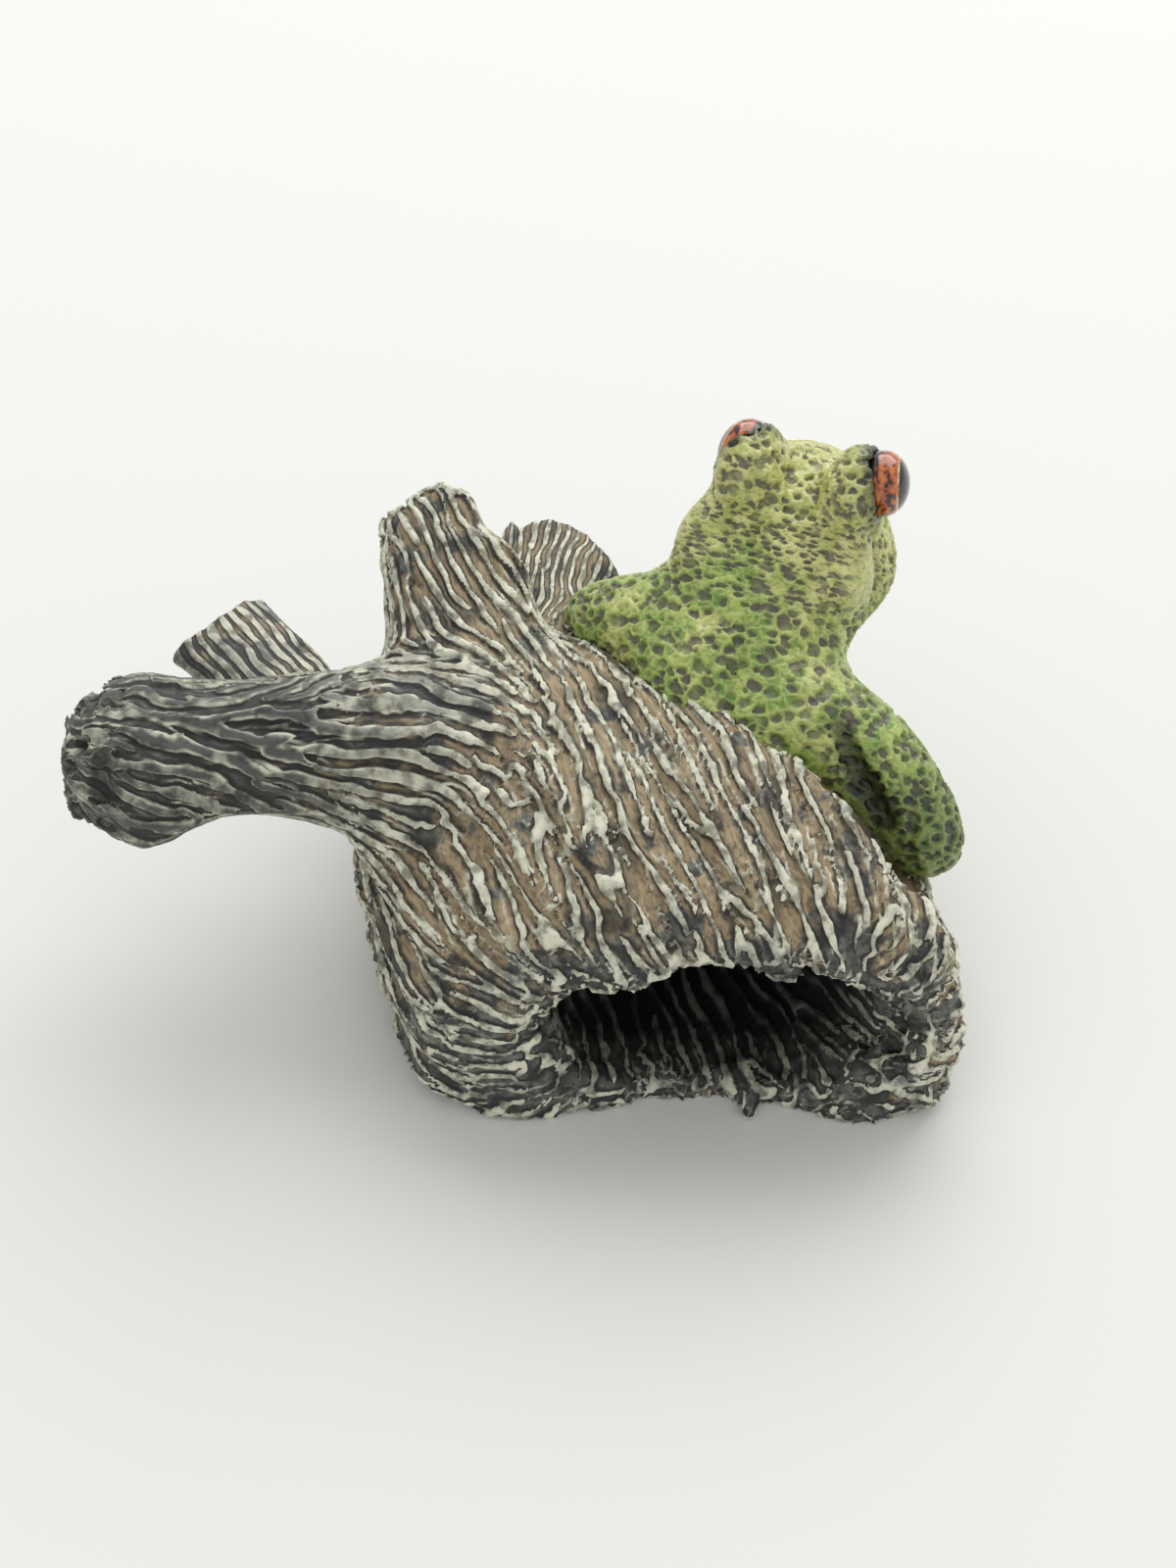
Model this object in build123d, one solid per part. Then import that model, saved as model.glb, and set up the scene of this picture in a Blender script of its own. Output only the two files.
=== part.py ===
from build123d import *
from math import copysign, cos, pi, radians, sin
import os

# A painted resin figurine: a tree frog climbing out of a hollow, broken log.
# Millimetres. X is to the right and Y away from the log's open near end, Z is up.
# The origin is on the floor, under the middle of the log.

# Log
log_length = 108
log_width = 102
log_height = 57
log_sink = 14               # how far the round section would reach under the floor
hollow_length = 46
hollow_width = 62
hollow_height = 31
floor_wall = 4
lip_height = 25             # top of the broken front, on which the hands rest
break_corner_x = -19        # where the broken edge turns from the crown to the bark flap
break_corner_y = 27
crown_heading = 135         # degrees right of straight ahead, the broken edge of the crown
flap_heading = 16           # and that beside the flap
bowl_length = 32
bowl_width = 44
bowl_depth = 11
bite_width = 50             # the near end's lower lip is broken back this wide
bite_depth = 5
thorn_length = 6
thorn_radius = 2
furrow_spacing = 12         # main furrows of the wood, which run along the log
furrow_depth = 1.5

# Broken limbs, twig and flap of bark
left_limb_length = 76
left_limb_radius = 12.5
rear_limb_length = 44
rear_limb_radius = 12
twig_length = 29
twig_width = 10
twig_thickness = 5
flap_length = 38
flap_width = 14
flap_thickness = 9

# Frog
frog_length = 80
frog_width = 18             # half of the chest's width
frog_depth = 14
eye_radius = 5.8
eye_spacing = 25.4
brow_spacing = 18
brow_radius = 8.5
throat_radius = 13.5
head_heading = 22           # degrees right of straight ahead
arm_length = 42
arm_radius = 8
finger_length = 8
finger_radius = 1.5
toe_radius = 2.4

# Joints between the castings
spigot_radius = 4
spigot_length = 7
wrist_spigot_radius = 2.5
wrist_spigot_length = 5
glue_gap = 0.15
seat_gap = 0.3
overrun = 90                # how far a cutter runs past what it cuts

# Rounded sections: the power of the curve, where 2 is an ellipse and more is squarer
log_power_share = 3.2
hollow_power_share = 2.6
outline_points = 24
fine_points = 360
points_per_furrow = 4
furrow_depth_shares = (1.0, 0.6, 1.3, 0.8, 1.15, 0.7, 1.25, 0.9)    # one after another round the log
grain_lean_share = 0.35     # how far the furrows move to the right, of the way to the near end

# Log stations: along its length, left and right edge, left and right height
log_shares = (
    (-0.41, -0.39, 0.44, 0.66, 0.80),
    (-0.31, -0.48, 0.46, 0.82, 0.91),
    (-0.09, -0.55, 0.43, 0.98, 1.02),
    (0.14, -0.56, 0.39, 1.00, 0.91),
    (0.37, -0.51, 0.31, 0.84, 0.67),
    (0.54, -0.41, 0.22, 0.60, 0.50),
    (0.59, -0.30, 0.12, 0.40, 0.36),
)
# Hollow stations: along it from the mouth, left and right edge, left and right height
hollow_shares = (
    (-0.30, -0.38, 0.60, 1.02, 1.16),
    (0.00, -0.38, 0.59, 1.02, 1.14),
    (0.33, -0.40, 0.47, 1.02, 1.00),
    (0.62, -0.36, 0.36, 0.86, 0.80),
    (0.83, -0.30, 0.28, 0.60, 0.56),
    (1.00, -0.20, 0.18, 0.34, 0.32),
)
mouth_share = -0.41         # where the log's near end lies, of its length
bowl_centre_share = (-0.01, 0.22)
bowl_shares = ((0.0, 0.45), (0.25, 0.78), (0.6, 0.95), (1.0, 1.0))
bite_centre_share = 0.03
thorn_place_share = (0.11, -0.355, 0.035)
thorn_tip_share = 0.25

# Path stations: right, ahead and up from the start, as shares of the length,
# then half width and half height, as shares of the radius
left_limb_start_share = (-0.27, 0.02, 0.74)
left_limb_shares = (
    (-0.04, 0.00, -0.07, 1.50, 1.10),
    (-0.24, -0.025, 0.06, 1.36, 1.32),
    (-0.42, -0.035, 0.10, 1.06, 1.04),
    (-0.58, -0.050, 0.11, 0.98, 0.96),
    (-0.72, -0.065, 0.12, 0.98, 0.98),
    (-0.86, -0.090, 0.12, 1.14, 1.08),
    (-0.95, -0.100, 0.12, 1.04, 0.98),
    (-1.00, -0.105, 0.12, 0.70, 0.66),
)
left_limb_joint = 2
rear_limb_start_share = (-0.33, 0.02, 0.72)
rear_limb_shares = (
    (0.02, 0.06, -0.12, 1.25, 1.10),
    (-0.08, 0.36, 0.18, 1.18, 1.00),
    (-0.14, 0.62, 0.30, 1.07, 0.94),
    (-0.19, 0.92, 0.43, 0.97, 0.88),
    (-0.20, 1.00, 0.46, 0.74, 0.66),
)
rear_limb_joint = 1
twig_start_share = (-0.53, 0.02, 0.11)
twig_shares = (
    (0.00, 0.00, 0.00, 0.78, 1.10),
    (-0.09, 0.25, 0.00, 0.95, 1.02),
    (-0.37, 0.49, 0.05, 1.02, 0.92),
    (-0.63, 0.68, 0.12, 1.12, 0.72),
)
twig_joint = 1
flap_start_share = (-0.26, 0.28, 0.60)
flap_shares = (
    (0.00, 0.00, 0.00, 1.00, 1.30),
    (0.06, 0.30, 0.04, 1.05, 1.25),
    (0.10, 0.58, 0.10, 1.02, 1.05),
    (0.14, 0.86, 0.17, 0.92, 0.72),
    (0.15, 0.96, 0.19, 0.86, 0.50),
)
flap_joint = 1

# Frog's spine, from its root inside the log to the snout
frog_start_share = (0.0, -0.085, 0.65)
frog_shares = (
    (0.020, 0.030, 0.020, 0.80, 0.72),
    (0.045, 0.120, 0.035, 0.92, 0.90),
    (0.120, 0.265, 0.145, 1.00, 1.00),
    (0.180, 0.415, 0.270, 0.89, 0.93),
    (0.220, 0.515, 0.370, 0.93, 0.93),
    (0.256, 0.615, 0.430, 0.86, 0.86),
    (0.295, 0.715, 0.430, 0.67, 0.66),
    (0.330, 0.800, 0.385, 0.42, 0.40),
    (0.342, 0.828, 0.365, 0.24, 0.22),
)
skull_station = 4
shoulder_station = 2
# Head parts: to its side, ahead and up, as shares of the eyes' spacing
eye_centre_share = (0.143, 0.176, 0.706)
brow_centre_share = (0.088, 0.187, 0.63)
throat_centre_share = (0.23, 0.265, -0.198)
brow_height_share = 0.82
throat_height_share = 0.74

# Arms: from the shoulder station, as the limbs, of the arm's length and radius
left_arm_shares = (
    (-0.10, 0.10, 0.12, 1.50, 1.35),
    (-0.34, 0.31, 0.12, 1.22, 1.15),
    (-0.54, 0.50, 0.02, 1.00, 0.96),
    (-0.57, 0.68, -0.18, 0.88, 0.85),
    (-0.50, 0.80, -0.37, 0.78, 0.74),
    (-0.37, 0.88, -0.48, 0.76, 0.60),
    (-0.22, 0.93, -0.51, 0.78, 0.44),
)
right_arm_shares = (
    (0.26, -0.13, 0.06, 1.40, 1.30),
    (0.53, -0.26, -0.055, 1.15, 1.10),
    (0.73, -0.38, -0.265, 0.98, 0.97),
    (0.81, -0.375, -0.45, 0.88, 0.85),
    (0.80, -0.14, -0.475, 0.80, 0.72),
    (0.70, 0.17, -0.50, 0.76, 0.62),
    (0.56, 0.38, -0.515, 0.80, 0.46),
)
arm_joint = 1
finger_turns = (-52, -24, 4, 30)    # degrees from the way the forearm points
finger_shares = (0.85, 1.0, 1.0, 0.8)
toe_rise_share = 0.35


def largest(shape):
    """The main solid, without crumbs that a cut leaves."""
    return max(shape.solids(), key=lambda solid: solid.volume)


def centre_of_log(shares):
    """Place given as shares of the log's width, length and height."""
    across, along, up = shares
    return Vector(log_width * across, log_length * along, log_height * up)


def rounded_outline(y, left, right, left_top, right_top, bottom, power, points):
    """Places round a superellipse across the log, from under its middle, whose top slopes from side to side."""
    places = []
    for step in range(points):
        turn = 2 * pi * step / points - pi / 2
        across = copysign(abs(cos(turn)) ** (2 / power), cos(turn))
        up = copysign(abs(sin(turn)) ** (2 / power), sin(turn))
        top = left_top + (right_top - left_top) * (across + 1) / 2
        x = (left + right) / 2 + across * (right - left) / 2
        z = (top + bottom) / 2 + up * (top - bottom) / 2
        places.append(Vector(x, y, z))
    return places


def log_outline(shares):
    """Fine outline of the log at one of its stations."""
    along, left, right, left_top, right_top = shares
    return rounded_outline(
        log_length * along, log_width * left, log_width * right,
        log_height * left_top, log_height * right_top, -log_sink, log_power_share, fine_points)


def girth(places):
    """Length of a closed outline."""
    return sum((place - places[index - 1]).length for index, place in enumerate(places))


def furrowed_section(places, furrows, lean):
    """Closed face on an outline, moved in and out by even furrows that start at a share of its girth."""
    corners = []
    whole = girth(places)
    gap = whole / (furrows * points_per_furrow)
    walked = 0
    wanted = gap * (lean % 1)
    wave_start = int(lean // 1)
    for index in range(len(places)):
        here = places[index]
        step = places[(index + 1) % len(places)] - here
        outward = Vector(step.Z, 0, -step.X).normalized()
        while wanted < walked + step.length and len(corners) < furrows * points_per_furrow:
            count = len(corners) - wave_start
            furrow = count // points_per_furrow % furrows
            depth = furrow_depth * furrow_depth_shares[furrow % len(furrow_depth_shares)]
            wave = cos(2 * pi * count / points_per_furrow)
            corners.append(here + step * ((wanted - walked) / step.length) + outward * (wave * depth / 2))
            wanted += gap
        walked += step.length
    first = wave_start % len(corners)
    return make_face(Spline(corners[first:] + corners[:first], periodic=True))


def make_log_outside():
    """Loft of the log's furrowed outer sections, cut flat where it stands on the floor."""
    outlines = [log_outline(shares) for shares in log_shares]
    widest = max(girth(outline) for outline in outlines)
    furrows = round(widest / furrow_spacing)
    sections = []
    for outline in outlines:
        lean = outline[0].Y * grain_lean_share / widest * furrows * points_per_furrow
        sections.append(furrowed_section(outline, furrows, lean))
    return split(loft(sections), bisect_by=Plane.XY, keep=Keep.TOP)


def make_hollow():
    """Blind hollow that runs in from the log's near end."""
    mouth = log_length * mouth_share
    sections = []
    for along, left, right, left_top, right_top in hollow_shares:
        places = rounded_outline(
            mouth + hollow_length * along, hollow_width * left, hollow_width * right,
            floor_wall + hollow_height * left_top, floor_wall + hollow_height * right_top,
            floor_wall, hollow_power_share, outline_points)
        sections.append(make_face(Spline(places, periodic=True)))
    return loft(sections)


def bearing(degrees_right, length):
    """Step on the floor plan, in a direction counted right of straight ahead."""
    turn = radians(degrees_right)
    return Vector(length * sin(turn), length * cos(turn), 0)


def make_break():
    """Wood that is missing at the log's front, above the lip and past the broken edge."""
    corner = Vector(break_corner_x, break_corner_y, lip_height)
    right_end = corner + bearing(crown_heading, overrun)
    left_end = corner + bearing(flap_heading, overrun)
    outline = Polyline(corner, right_end, right_end + left_end - corner, left_end, close=True)
    return extrude(make_face(outline), amount=overrun)


def make_bowl():
    """Scoop in the broken front, under the frog's belly."""
    x, y, z = centre_of_log((*bowl_centre_share, 0))
    sections = []
    for up, wide in bowl_shares:
        level = lip_height - bowl_depth * (1 - up)
        oval = Ellipse(bowl_width * wide / 2, bowl_length * wide / 2)
        sections.append(Pos(x, y, level) * oval)
    sections.append(Pos(x, y, lip_height + bowl_depth) * Ellipse(bowl_width / 2, bowl_length / 2))
    return loft(sections)


def make_bite():
    """Round bite out of the near end's lower lip."""
    half = bite_width / 2
    radius = (half * half + bite_depth * bite_depth) / (2 * bite_depth)
    y = log_length * mouth_share + bite_depth - radius
    return Pos(log_width * bite_centre_share, y, 0) * Cylinder(radius, hollow_height)


def make_thorn():
    """Short splinter that points out of the lower lip."""
    cone = Cone(thorn_radius, thorn_radius * thorn_tip_share, thorn_length)
    place = centre_of_log(thorn_place_share)
    return Plane(origin=place, x_dir=Vector(1, 0, 0), z_dir=Vector(0, -1, 0)) * cone


def path_stations(start, length, half_width, half_height, shares, grow=0):
    """Centres and half sizes of a tapered piece's sections, from its table."""
    stations = []
    for right, ahead, up, wide, high in shares:
        centre = start + Vector(right, ahead, up) * length
        stations.append((centre, half_width * wide + grow, half_height * high + grow))
    return stations


def station_plane(stations, index):
    """Plane at a station, square to the line between its neighbours."""
    before = stations[max(index - 1, 0)][0]
    after = stations[min(index + 1, len(stations) - 1)][0]
    ahead = (after - before).normalized()
    side = ahead.cross(Vector(0, 0, 1)).normalized()
    return Plane(origin=stations[index][0], x_dir=side, z_dir=ahead)


def tapered(stations):
    """Loft of ovals, one at each station."""
    sections = []
    for index, (_, wide, high) in enumerate(stations):
        sections.append(station_plane(stations, index) * Ellipse(wide, high))
    return loft(sections)


def spigot(plane, radius, length, gap=0):
    """Round peg that points back from a joint, or its socket when given a gap."""
    depth = length + gap
    peg = Cylinder(radius + gap, depth, align=(Align.CENTER, Align.CENTER, Align.MAX))
    return plane * peg


def root_block(stations, joint):
    """Box round a tapered piece's root, with one face at the joint."""
    centre = stations[joint][0]
    reach = (centre - stations[0][0]).length
    widest = max(max(wide, high) for _, wide, high in stations[:joint + 1])
    block = Box(widest * 4, widest * 4, reach + widest * 2, align=(Align.CENTER, Align.CENTER, Align.MAX))
    return station_plane(stations, joint) * block


def break_off(make_stations, joint, radius, length):
    """Divides a tapered piece at a joint: its root, its end with a peg, and the room that they need."""
    stations = make_stations(0)
    plane = station_plane(stations, joint)
    block = root_block(stations, joint)
    whole = tapered(stations)
    end = largest(whole - block) + spigot(plane, radius, length)
    room = largest(tapered(make_stations(glue_gap)) - block) + spigot(plane, radius, length, glue_gap)
    return largest(whole & block), end, room


def egg(centre, half_width, half_length, half_height):
    """Ellipsoid in line with the head."""
    shape = scale(Sphere(1), by=(half_width, half_length, half_height))
    return Pos(*centre) * Rot(0, 0, -head_heading) * shape


def head_place(skull, shares, side=0):
    """Place in the head's own directions, with a distance to its side."""
    right, ahead, up = shares
    turn = radians(head_heading)
    x = eye_spacing * right + side
    y = eye_spacing * ahead
    z = eye_spacing * up
    return skull + Vector(x * cos(turn) + y * sin(turn), y * cos(turn) - x * sin(turn), z)


def make_hand(stations):
    """Fingers with round toe pads, flat on the lip, fanned out from the arm's end."""
    wrist = stations[-1][0]
    ahead = wrist - stations[-2][0]
    fingers = []
    for turn, share in zip(finger_turns, finger_shares):
        way = Vector(ahead.X, ahead.Y, 0).normalized().rotate(Axis.Z, turn)
        base = Vector(wrist.X, wrist.Y, lip_height + finger_radius * toe_rise_share)
        tip = base + way * (stations[-1][1] + finger_length * share)
        bone = Cylinder(finger_radius, (tip - base).length, align=(Align.CENTER, Align.CENTER, Align.MIN))
        fingers.append(Plane(origin=base, z_dir=way) * bone)
        fingers.append(Pos(*tip) * Sphere(toe_radius))
    return fingers


def frog_stations(grow=0):
    """Stations of the frog's trunk and head."""
    start = centre_of_log(frog_start_share)
    return path_stations(start, frog_length, frog_width, frog_depth, frog_shares, grow)


def left_limb_stations(grow=0):
    """Stations of the long knobbed limb."""
    start = centre_of_log(left_limb_start_share)
    return path_stations(start, left_limb_length, left_limb_radius, left_limb_radius, left_limb_shares, grow)


def rear_limb_stations(grow=0):
    """Stations of the short limb behind."""
    start = centre_of_log(rear_limb_start_share)
    return path_stations(start, rear_limb_length, rear_limb_radius, rear_limb_radius, rear_limb_shares, grow)


def twig_stations(grow=0):
    """Stations of the flat twig, which starts on the long limb."""
    start = centre_of_log(left_limb_start_share) + Vector(*twig_start_share) * left_limb_length
    return path_stations(start, twig_length, twig_width, twig_thickness, twig_shares, grow)


def flap_stations(grow=0):
    """Stations of the flap of bark behind the frog."""
    start = centre_of_log(flap_start_share)
    return path_stations(start, flap_length, flap_width, flap_thickness, flap_shares, grow)


def arm_stations(shares, grow=0):
    """Stations of one arm, from the frog's shoulders."""
    shoulders = frog_stations()[shoulder_station][0]
    return path_stations(shoulders, arm_length, arm_radius, arm_radius, shares, grow)


def above_lip(shape):
    """What lies above the broken front's lip."""
    return split(shape, bisect_by=Plane.XY.offset(lip_height), keep=Keep.TOP)


def make_arm(shares):
    """Arm and hand in one piece above the lip, with its root and the room that it needs."""
    root, end, room = break_off(
        lambda grow: arm_stations(shares, grow), arm_joint, wrist_spigot_radius, wrist_spigot_length)
    return root, above_lip(end + make_hand(arm_stations(shares))), above_lip(room)


# Tapered pieces, each divided at its joint
left_root, left_limb, left_room = break_off(left_limb_stations, left_limb_joint, spigot_radius, spigot_length)
rear_root, rear_limb, rear_room = break_off(rear_limb_stations, rear_limb_joint, spigot_radius, spigot_length)
twig_root, side_twig, twig_room = break_off(
    twig_stations, twig_joint, wrist_spigot_radius, wrist_spigot_length)
flap_root, bark_flap, flap_room = break_off(
    flap_stations, flap_joint, wrist_spigot_radius, wrist_spigot_length)
left_arm_root, left_arm, left_arm_room = make_arm(left_arm_shares)
right_arm_root, right_arm, right_arm_room = make_arm(right_arm_shares)

# Frog's trunk and head, with sockets for the eyes and arms
skull = frog_stations()[skull_station][0]
eyes = [head_place(skull, eye_centre_share, side) for side in (-eye_spacing / 2, eye_spacing / 2)]
brows = [head_place(skull, brow_centre_share, side) for side in (-brow_spacing / 2, brow_spacing / 2)]
throat = head_place(skull, throat_centre_share)
frog_body = tapered(frog_stations())
for brow in brows:
    frog_body = frog_body + egg(brow, brow_radius, brow_radius, brow_radius * brow_height_share)
frog_body = frog_body + egg(throat, throat_radius, throat_radius, throat_radius * throat_height_share)
frog_body = frog_body + left_arm_root + right_arm_root
for eye in eyes:
    frog_body = frog_body - Pos(*eye) * Sphere(eye_radius + glue_gap)
frog_body = frog_body - left_arm_room - right_arm_room

# Log: its outside and the limbs' roots, less every hollow and every seat
log_trunk = make_log_outside() + left_root + rear_root + flap_root
for cut in (make_bite(), make_hollow(), make_break(), make_bowl()):
    log_trunk = log_trunk - cut
log_trunk = log_trunk + make_thorn()
for room in (left_room, rear_room, flap_room, left_arm_room, right_arm_room):
    log_trunk = log_trunk - room
log_trunk = log_trunk - tapered(frog_stations(seat_gap)) - left_arm_root - right_arm_root
left_limb = left_limb + twig_root - twig_room
bark_flap = bark_flap - rear_room - left_arm_room - tapered(frog_stations(seat_gap))

pieces = {
    "log_trunk": log_trunk,
    "left_limb": left_limb,
    "rear_limb": rear_limb,
    "side_twig": side_twig,
    "bark_flap": bark_flap,
    "frog_body": frog_body,
    "frog_left_arm": left_arm,
    "frog_right_arm": right_arm,
    "frog_left_eye": Pos(*eyes[0]) * Sphere(eye_radius),
    "frog_right_eye": Pos(*eyes[1]) * Sphere(eye_radius),
}

os.makedirs("parts", exist_ok=True)
for name, shape in pieces.items():
    solid = largest(shape)
    export_step(solid, f"parts/{name}.step")
    box = solid.bounding_box()
    print(name, [round(each.volume) for each in shape.solids()], box.min, box.max)
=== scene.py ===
import math
import bpy
import numpy as np
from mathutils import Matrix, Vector


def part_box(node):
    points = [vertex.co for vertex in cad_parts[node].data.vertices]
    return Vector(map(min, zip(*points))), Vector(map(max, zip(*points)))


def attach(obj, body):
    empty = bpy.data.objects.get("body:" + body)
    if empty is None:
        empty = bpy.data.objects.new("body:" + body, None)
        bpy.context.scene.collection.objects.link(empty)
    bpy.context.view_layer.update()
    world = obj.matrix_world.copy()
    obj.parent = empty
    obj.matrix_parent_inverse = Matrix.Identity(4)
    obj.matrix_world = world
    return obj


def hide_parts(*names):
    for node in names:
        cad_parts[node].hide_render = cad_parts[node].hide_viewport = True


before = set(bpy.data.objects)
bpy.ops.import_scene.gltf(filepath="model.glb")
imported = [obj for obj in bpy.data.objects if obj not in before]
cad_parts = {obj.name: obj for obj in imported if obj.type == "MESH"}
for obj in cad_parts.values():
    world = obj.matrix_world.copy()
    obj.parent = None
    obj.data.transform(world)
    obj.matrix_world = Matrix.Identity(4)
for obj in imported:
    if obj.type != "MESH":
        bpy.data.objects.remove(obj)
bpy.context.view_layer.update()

# A cast and painted ornament: a tree frog climbing out of a hollow, broken log.
# Shapes are worked out in millimetres, in the frame's directions, and put into the meshes in metres.
METRES = 0.001
UP = np.array([0.0, 0.0, 1.0])

# Mesh spacing of each casting's skin, in millimetres
LOG_SPACING = 0.77
LIMB_SPACING = 0.45
FROG_SPACING = 0.43
# Room round a node's box; how far past a joint a skin goes, where it starts to sink there, and how deep
BOX_MARGIN = 9.0
SEAM_OVERLAP = 1.4
SEAM_START = 0.3
SEAM_SINK = 0.5

# Log: y, left edge, right edge, height at the left, height at the right
LOG_STATIONS = (
    (-44.3, -39.8, 44.9, 37.6, 45.6),
    (-33.5, -49.0, 46.9, 46.7, 51.9),
    (-9.7, -56.1, 43.9, 55.9, 58.1),
    (15.1, -57.1, 39.8, 57.0, 51.9),
    (40.0, -52.0, 31.6, 47.9, 38.2),
    (58.3, -41.8, 22.4, 34.2, 28.5),
    (63.7, -30.6, 12.2, 22.8, 20.5),
)
# Under the base its sections go this deep; then their power, the rounding of its ends, and its furrows
LOG_SINK = -14.0
LOG_POWER = 3.2
LOG_ROUNDING = 5.0
FURROWS = 24
FURROW_DEPTH = 1.5
FURROW_DEPTHS = (1.0, 0.6, 1.3, 0.8, 1.15, 0.7, 1.25, 0.9)
GRAIN_LEAN = 0.35
LOG_GIRTH = 292.0
# Hollow, with the same five numbers a row
HOLLOW_STATIONS = (
    (-58.1, -23.6, 37.2, 35.6, 40.0),
    (-44.3, -23.6, 36.6, 35.6, 39.3),
    (-29.1, -24.8, 29.1, 35.6, 35.0),
    (-15.8, -22.3, 22.3, 30.7, 28.8),
    (-6.1, -18.6, 17.4, 22.6, 21.4),
    (1.7, -12.4, 11.2, 14.5, 13.9),
)
HOLLOW_FLOOR = 4.0
HOLLOW_POWER = 2.6
HOLLOW_ROUNDING = 3.0
# Broken front: its lip's height, the crown's corner from above, the way each face looks, and the scoop
LIP_HEIGHT = 25.0
BREAK_CORNER = np.array([-19.0, 27.0])
CROWN_NORMAL = 45.0
FLAP_NORMAL = 106.0
BOWL_CENTRE = (-1.0, 23.8, 25.0)
BOWL_RADII = (22.0, 16.0, 11.0)
# Mouth's rim: its place along the log, and how far from it lumps reach
MOUTH = -42.0
MOUTH_REACH = 7.0
# Bite under the mouth: an upright round cut, up to a height
BITE_CENTRE = (3.1, -104.3)
BITE_RADIUS = 65.0
BITE_HEIGHT = 13.0
# Two places on the log's middle, each with its reach
LOG_BOX = ((-5.0, 0.0, 5.0, 58.0, 58.0), (-5.0, 10.0, 5.0, 58.0, 58.0))

# Thorn, limbs, twig and flap: x, y, z, half width, half height
THORN = ((11.2, -35.5, 2.8, 3.0, 2.8), (11.3, -39.5, 2.2, 2.2, 2.1), (11.6, -44.0, 1.3, 0.7, 0.7))
LEFT_LIMB = (
    (-30.6, 2.2, 36.9, 18.8, 13.8),
    (-45.8, 0.3, 46.8, 17.0, 16.5),
    (-59.5, -0.5, 49.8, 13.2, 13.0),
    (-71.6, -1.6, 50.6, 12.2, 12.0),
    (-82.3, -2.8, 51.3, 12.2, 12.2),
    (-92.9, -4.7, 51.3, 14.2, 13.5),
    (-99.7, -5.4, 51.3, 13.0, 12.2),
    (-103.2, -5.8, 51.3, 9.5, 9.0),
)
# Along the long limb: its end, where the ragged part starts, and the middles of its knob and waist
LIMB_END = -108.0
LIMB_RAGGED = -94.0
LIMB_KNOB = -96.0
LIMB_WAIST = -78.0
REAR_LIMB = (
    (-32.8, 4.8, 35.8, 15.0, 13.2),
    (-37.2, 18.0, 49.0, 14.2, 12.0),
    (-40.2, 29.4, 54.2, 13.0, 11.3),
    (-42.6, 42.6, 60.0, 12.4, 10.8),
    (-43.1, 46.2, 61.3, 11.0, 9.4),
)
# Rear limb: where its ragged end starts, a place on the crack in its top, and the crack's floor
REAR_RAGGED = 36.0
REAR_CRACK = (-41.0, 40.0)
REAR_CRACK_FLOOR = 62.0
TWIG = (
    (-67.8, 3.7, 50.6, 7.8, 5.5),
    (-70.0, 11.0, 50.8, 9.5, 5.1),
    (-77.0, 18.3, 52.6, 10.4, 4.6),
    (-84.4, 25.0, 55.0, 11.2, 3.8),
)
FLAP = (
    (-26.5, 30.2, 34.2, 14.0, 11.7),
    (-24.2, 41.6, 36.2, 14.7, 11.2),
    (-22.7, 52.2, 39.8, 14.3, 9.4),
    (-21.2, 62.9, 43.6, 12.9, 6.5),
    (-20.8, 66.7, 44.6, 12.0, 4.5),
)
# Flap: a place on its torn edge and the edge's outward way, and a place on the step between its layers
FLAP_TEAR = (-13.0, 58.0)
FLAP_TEAR_WAY = np.array([0.62, 0.78])
FLAP_STEP = (-26.0, 50.0)

# Frog: x, y, z, half width, half height along the spine, then its other lumps
SPINE = (
    (1.6, -6.8, 38.6, 14.4, 10.1),
    (3.6, 0.4, 39.8, 16.6, 12.6),
    (9.6, 12.0, 48.6, 18.0, 14.0),
    (14.4, 24.0, 58.6, 16.0, 13.0),
    (17.6, 32.0, 66.6, 16.7, 13.0),
    (20.5, 40.0, 70.4, 15.5, 11.0),
    (23.6, 48.0, 69.2, 12.1, 8.4),
    (26.4, 54.8, 66.4, 7.6, 5.4),
    (27.4, 57.0, 65.2, 4.3, 3.1),
)
LEFT_ARM = (
    (5.4, 16.2, 53.6, 12.0, 10.8),
    (-4.7, 25.0, 53.6, 9.8, 9.2),
    (-13.1, 33.0, 49.4, 8.0, 7.7),
    (-14.3, 40.6, 41.0, 7.0, 6.8),
    (-11.4, 45.6, 33.1, 6.2, 5.9),
    (-5.9, 49.0, 28.4, 6.1, 4.8),
    (0.4, 51.1, 27.2, 6.2, 3.5),
)
RIGHT_ARM = (
    (20.5, 6.5, 51.1, 11.2, 10.4),
    (31.9, 1.1, 46.3, 9.2, 8.8),
    (40.3, -4.0, 37.5, 7.8, 7.8),
    (43.6, -3.8, 29.7, 7.0, 6.8),
    (43.2, 6.1, 28.7, 6.4, 5.8),
    (39.0, 19.1, 27.6, 6.1, 5.0),
    (33.1, 28.0, 27.0, 6.4, 3.7),
)
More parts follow.
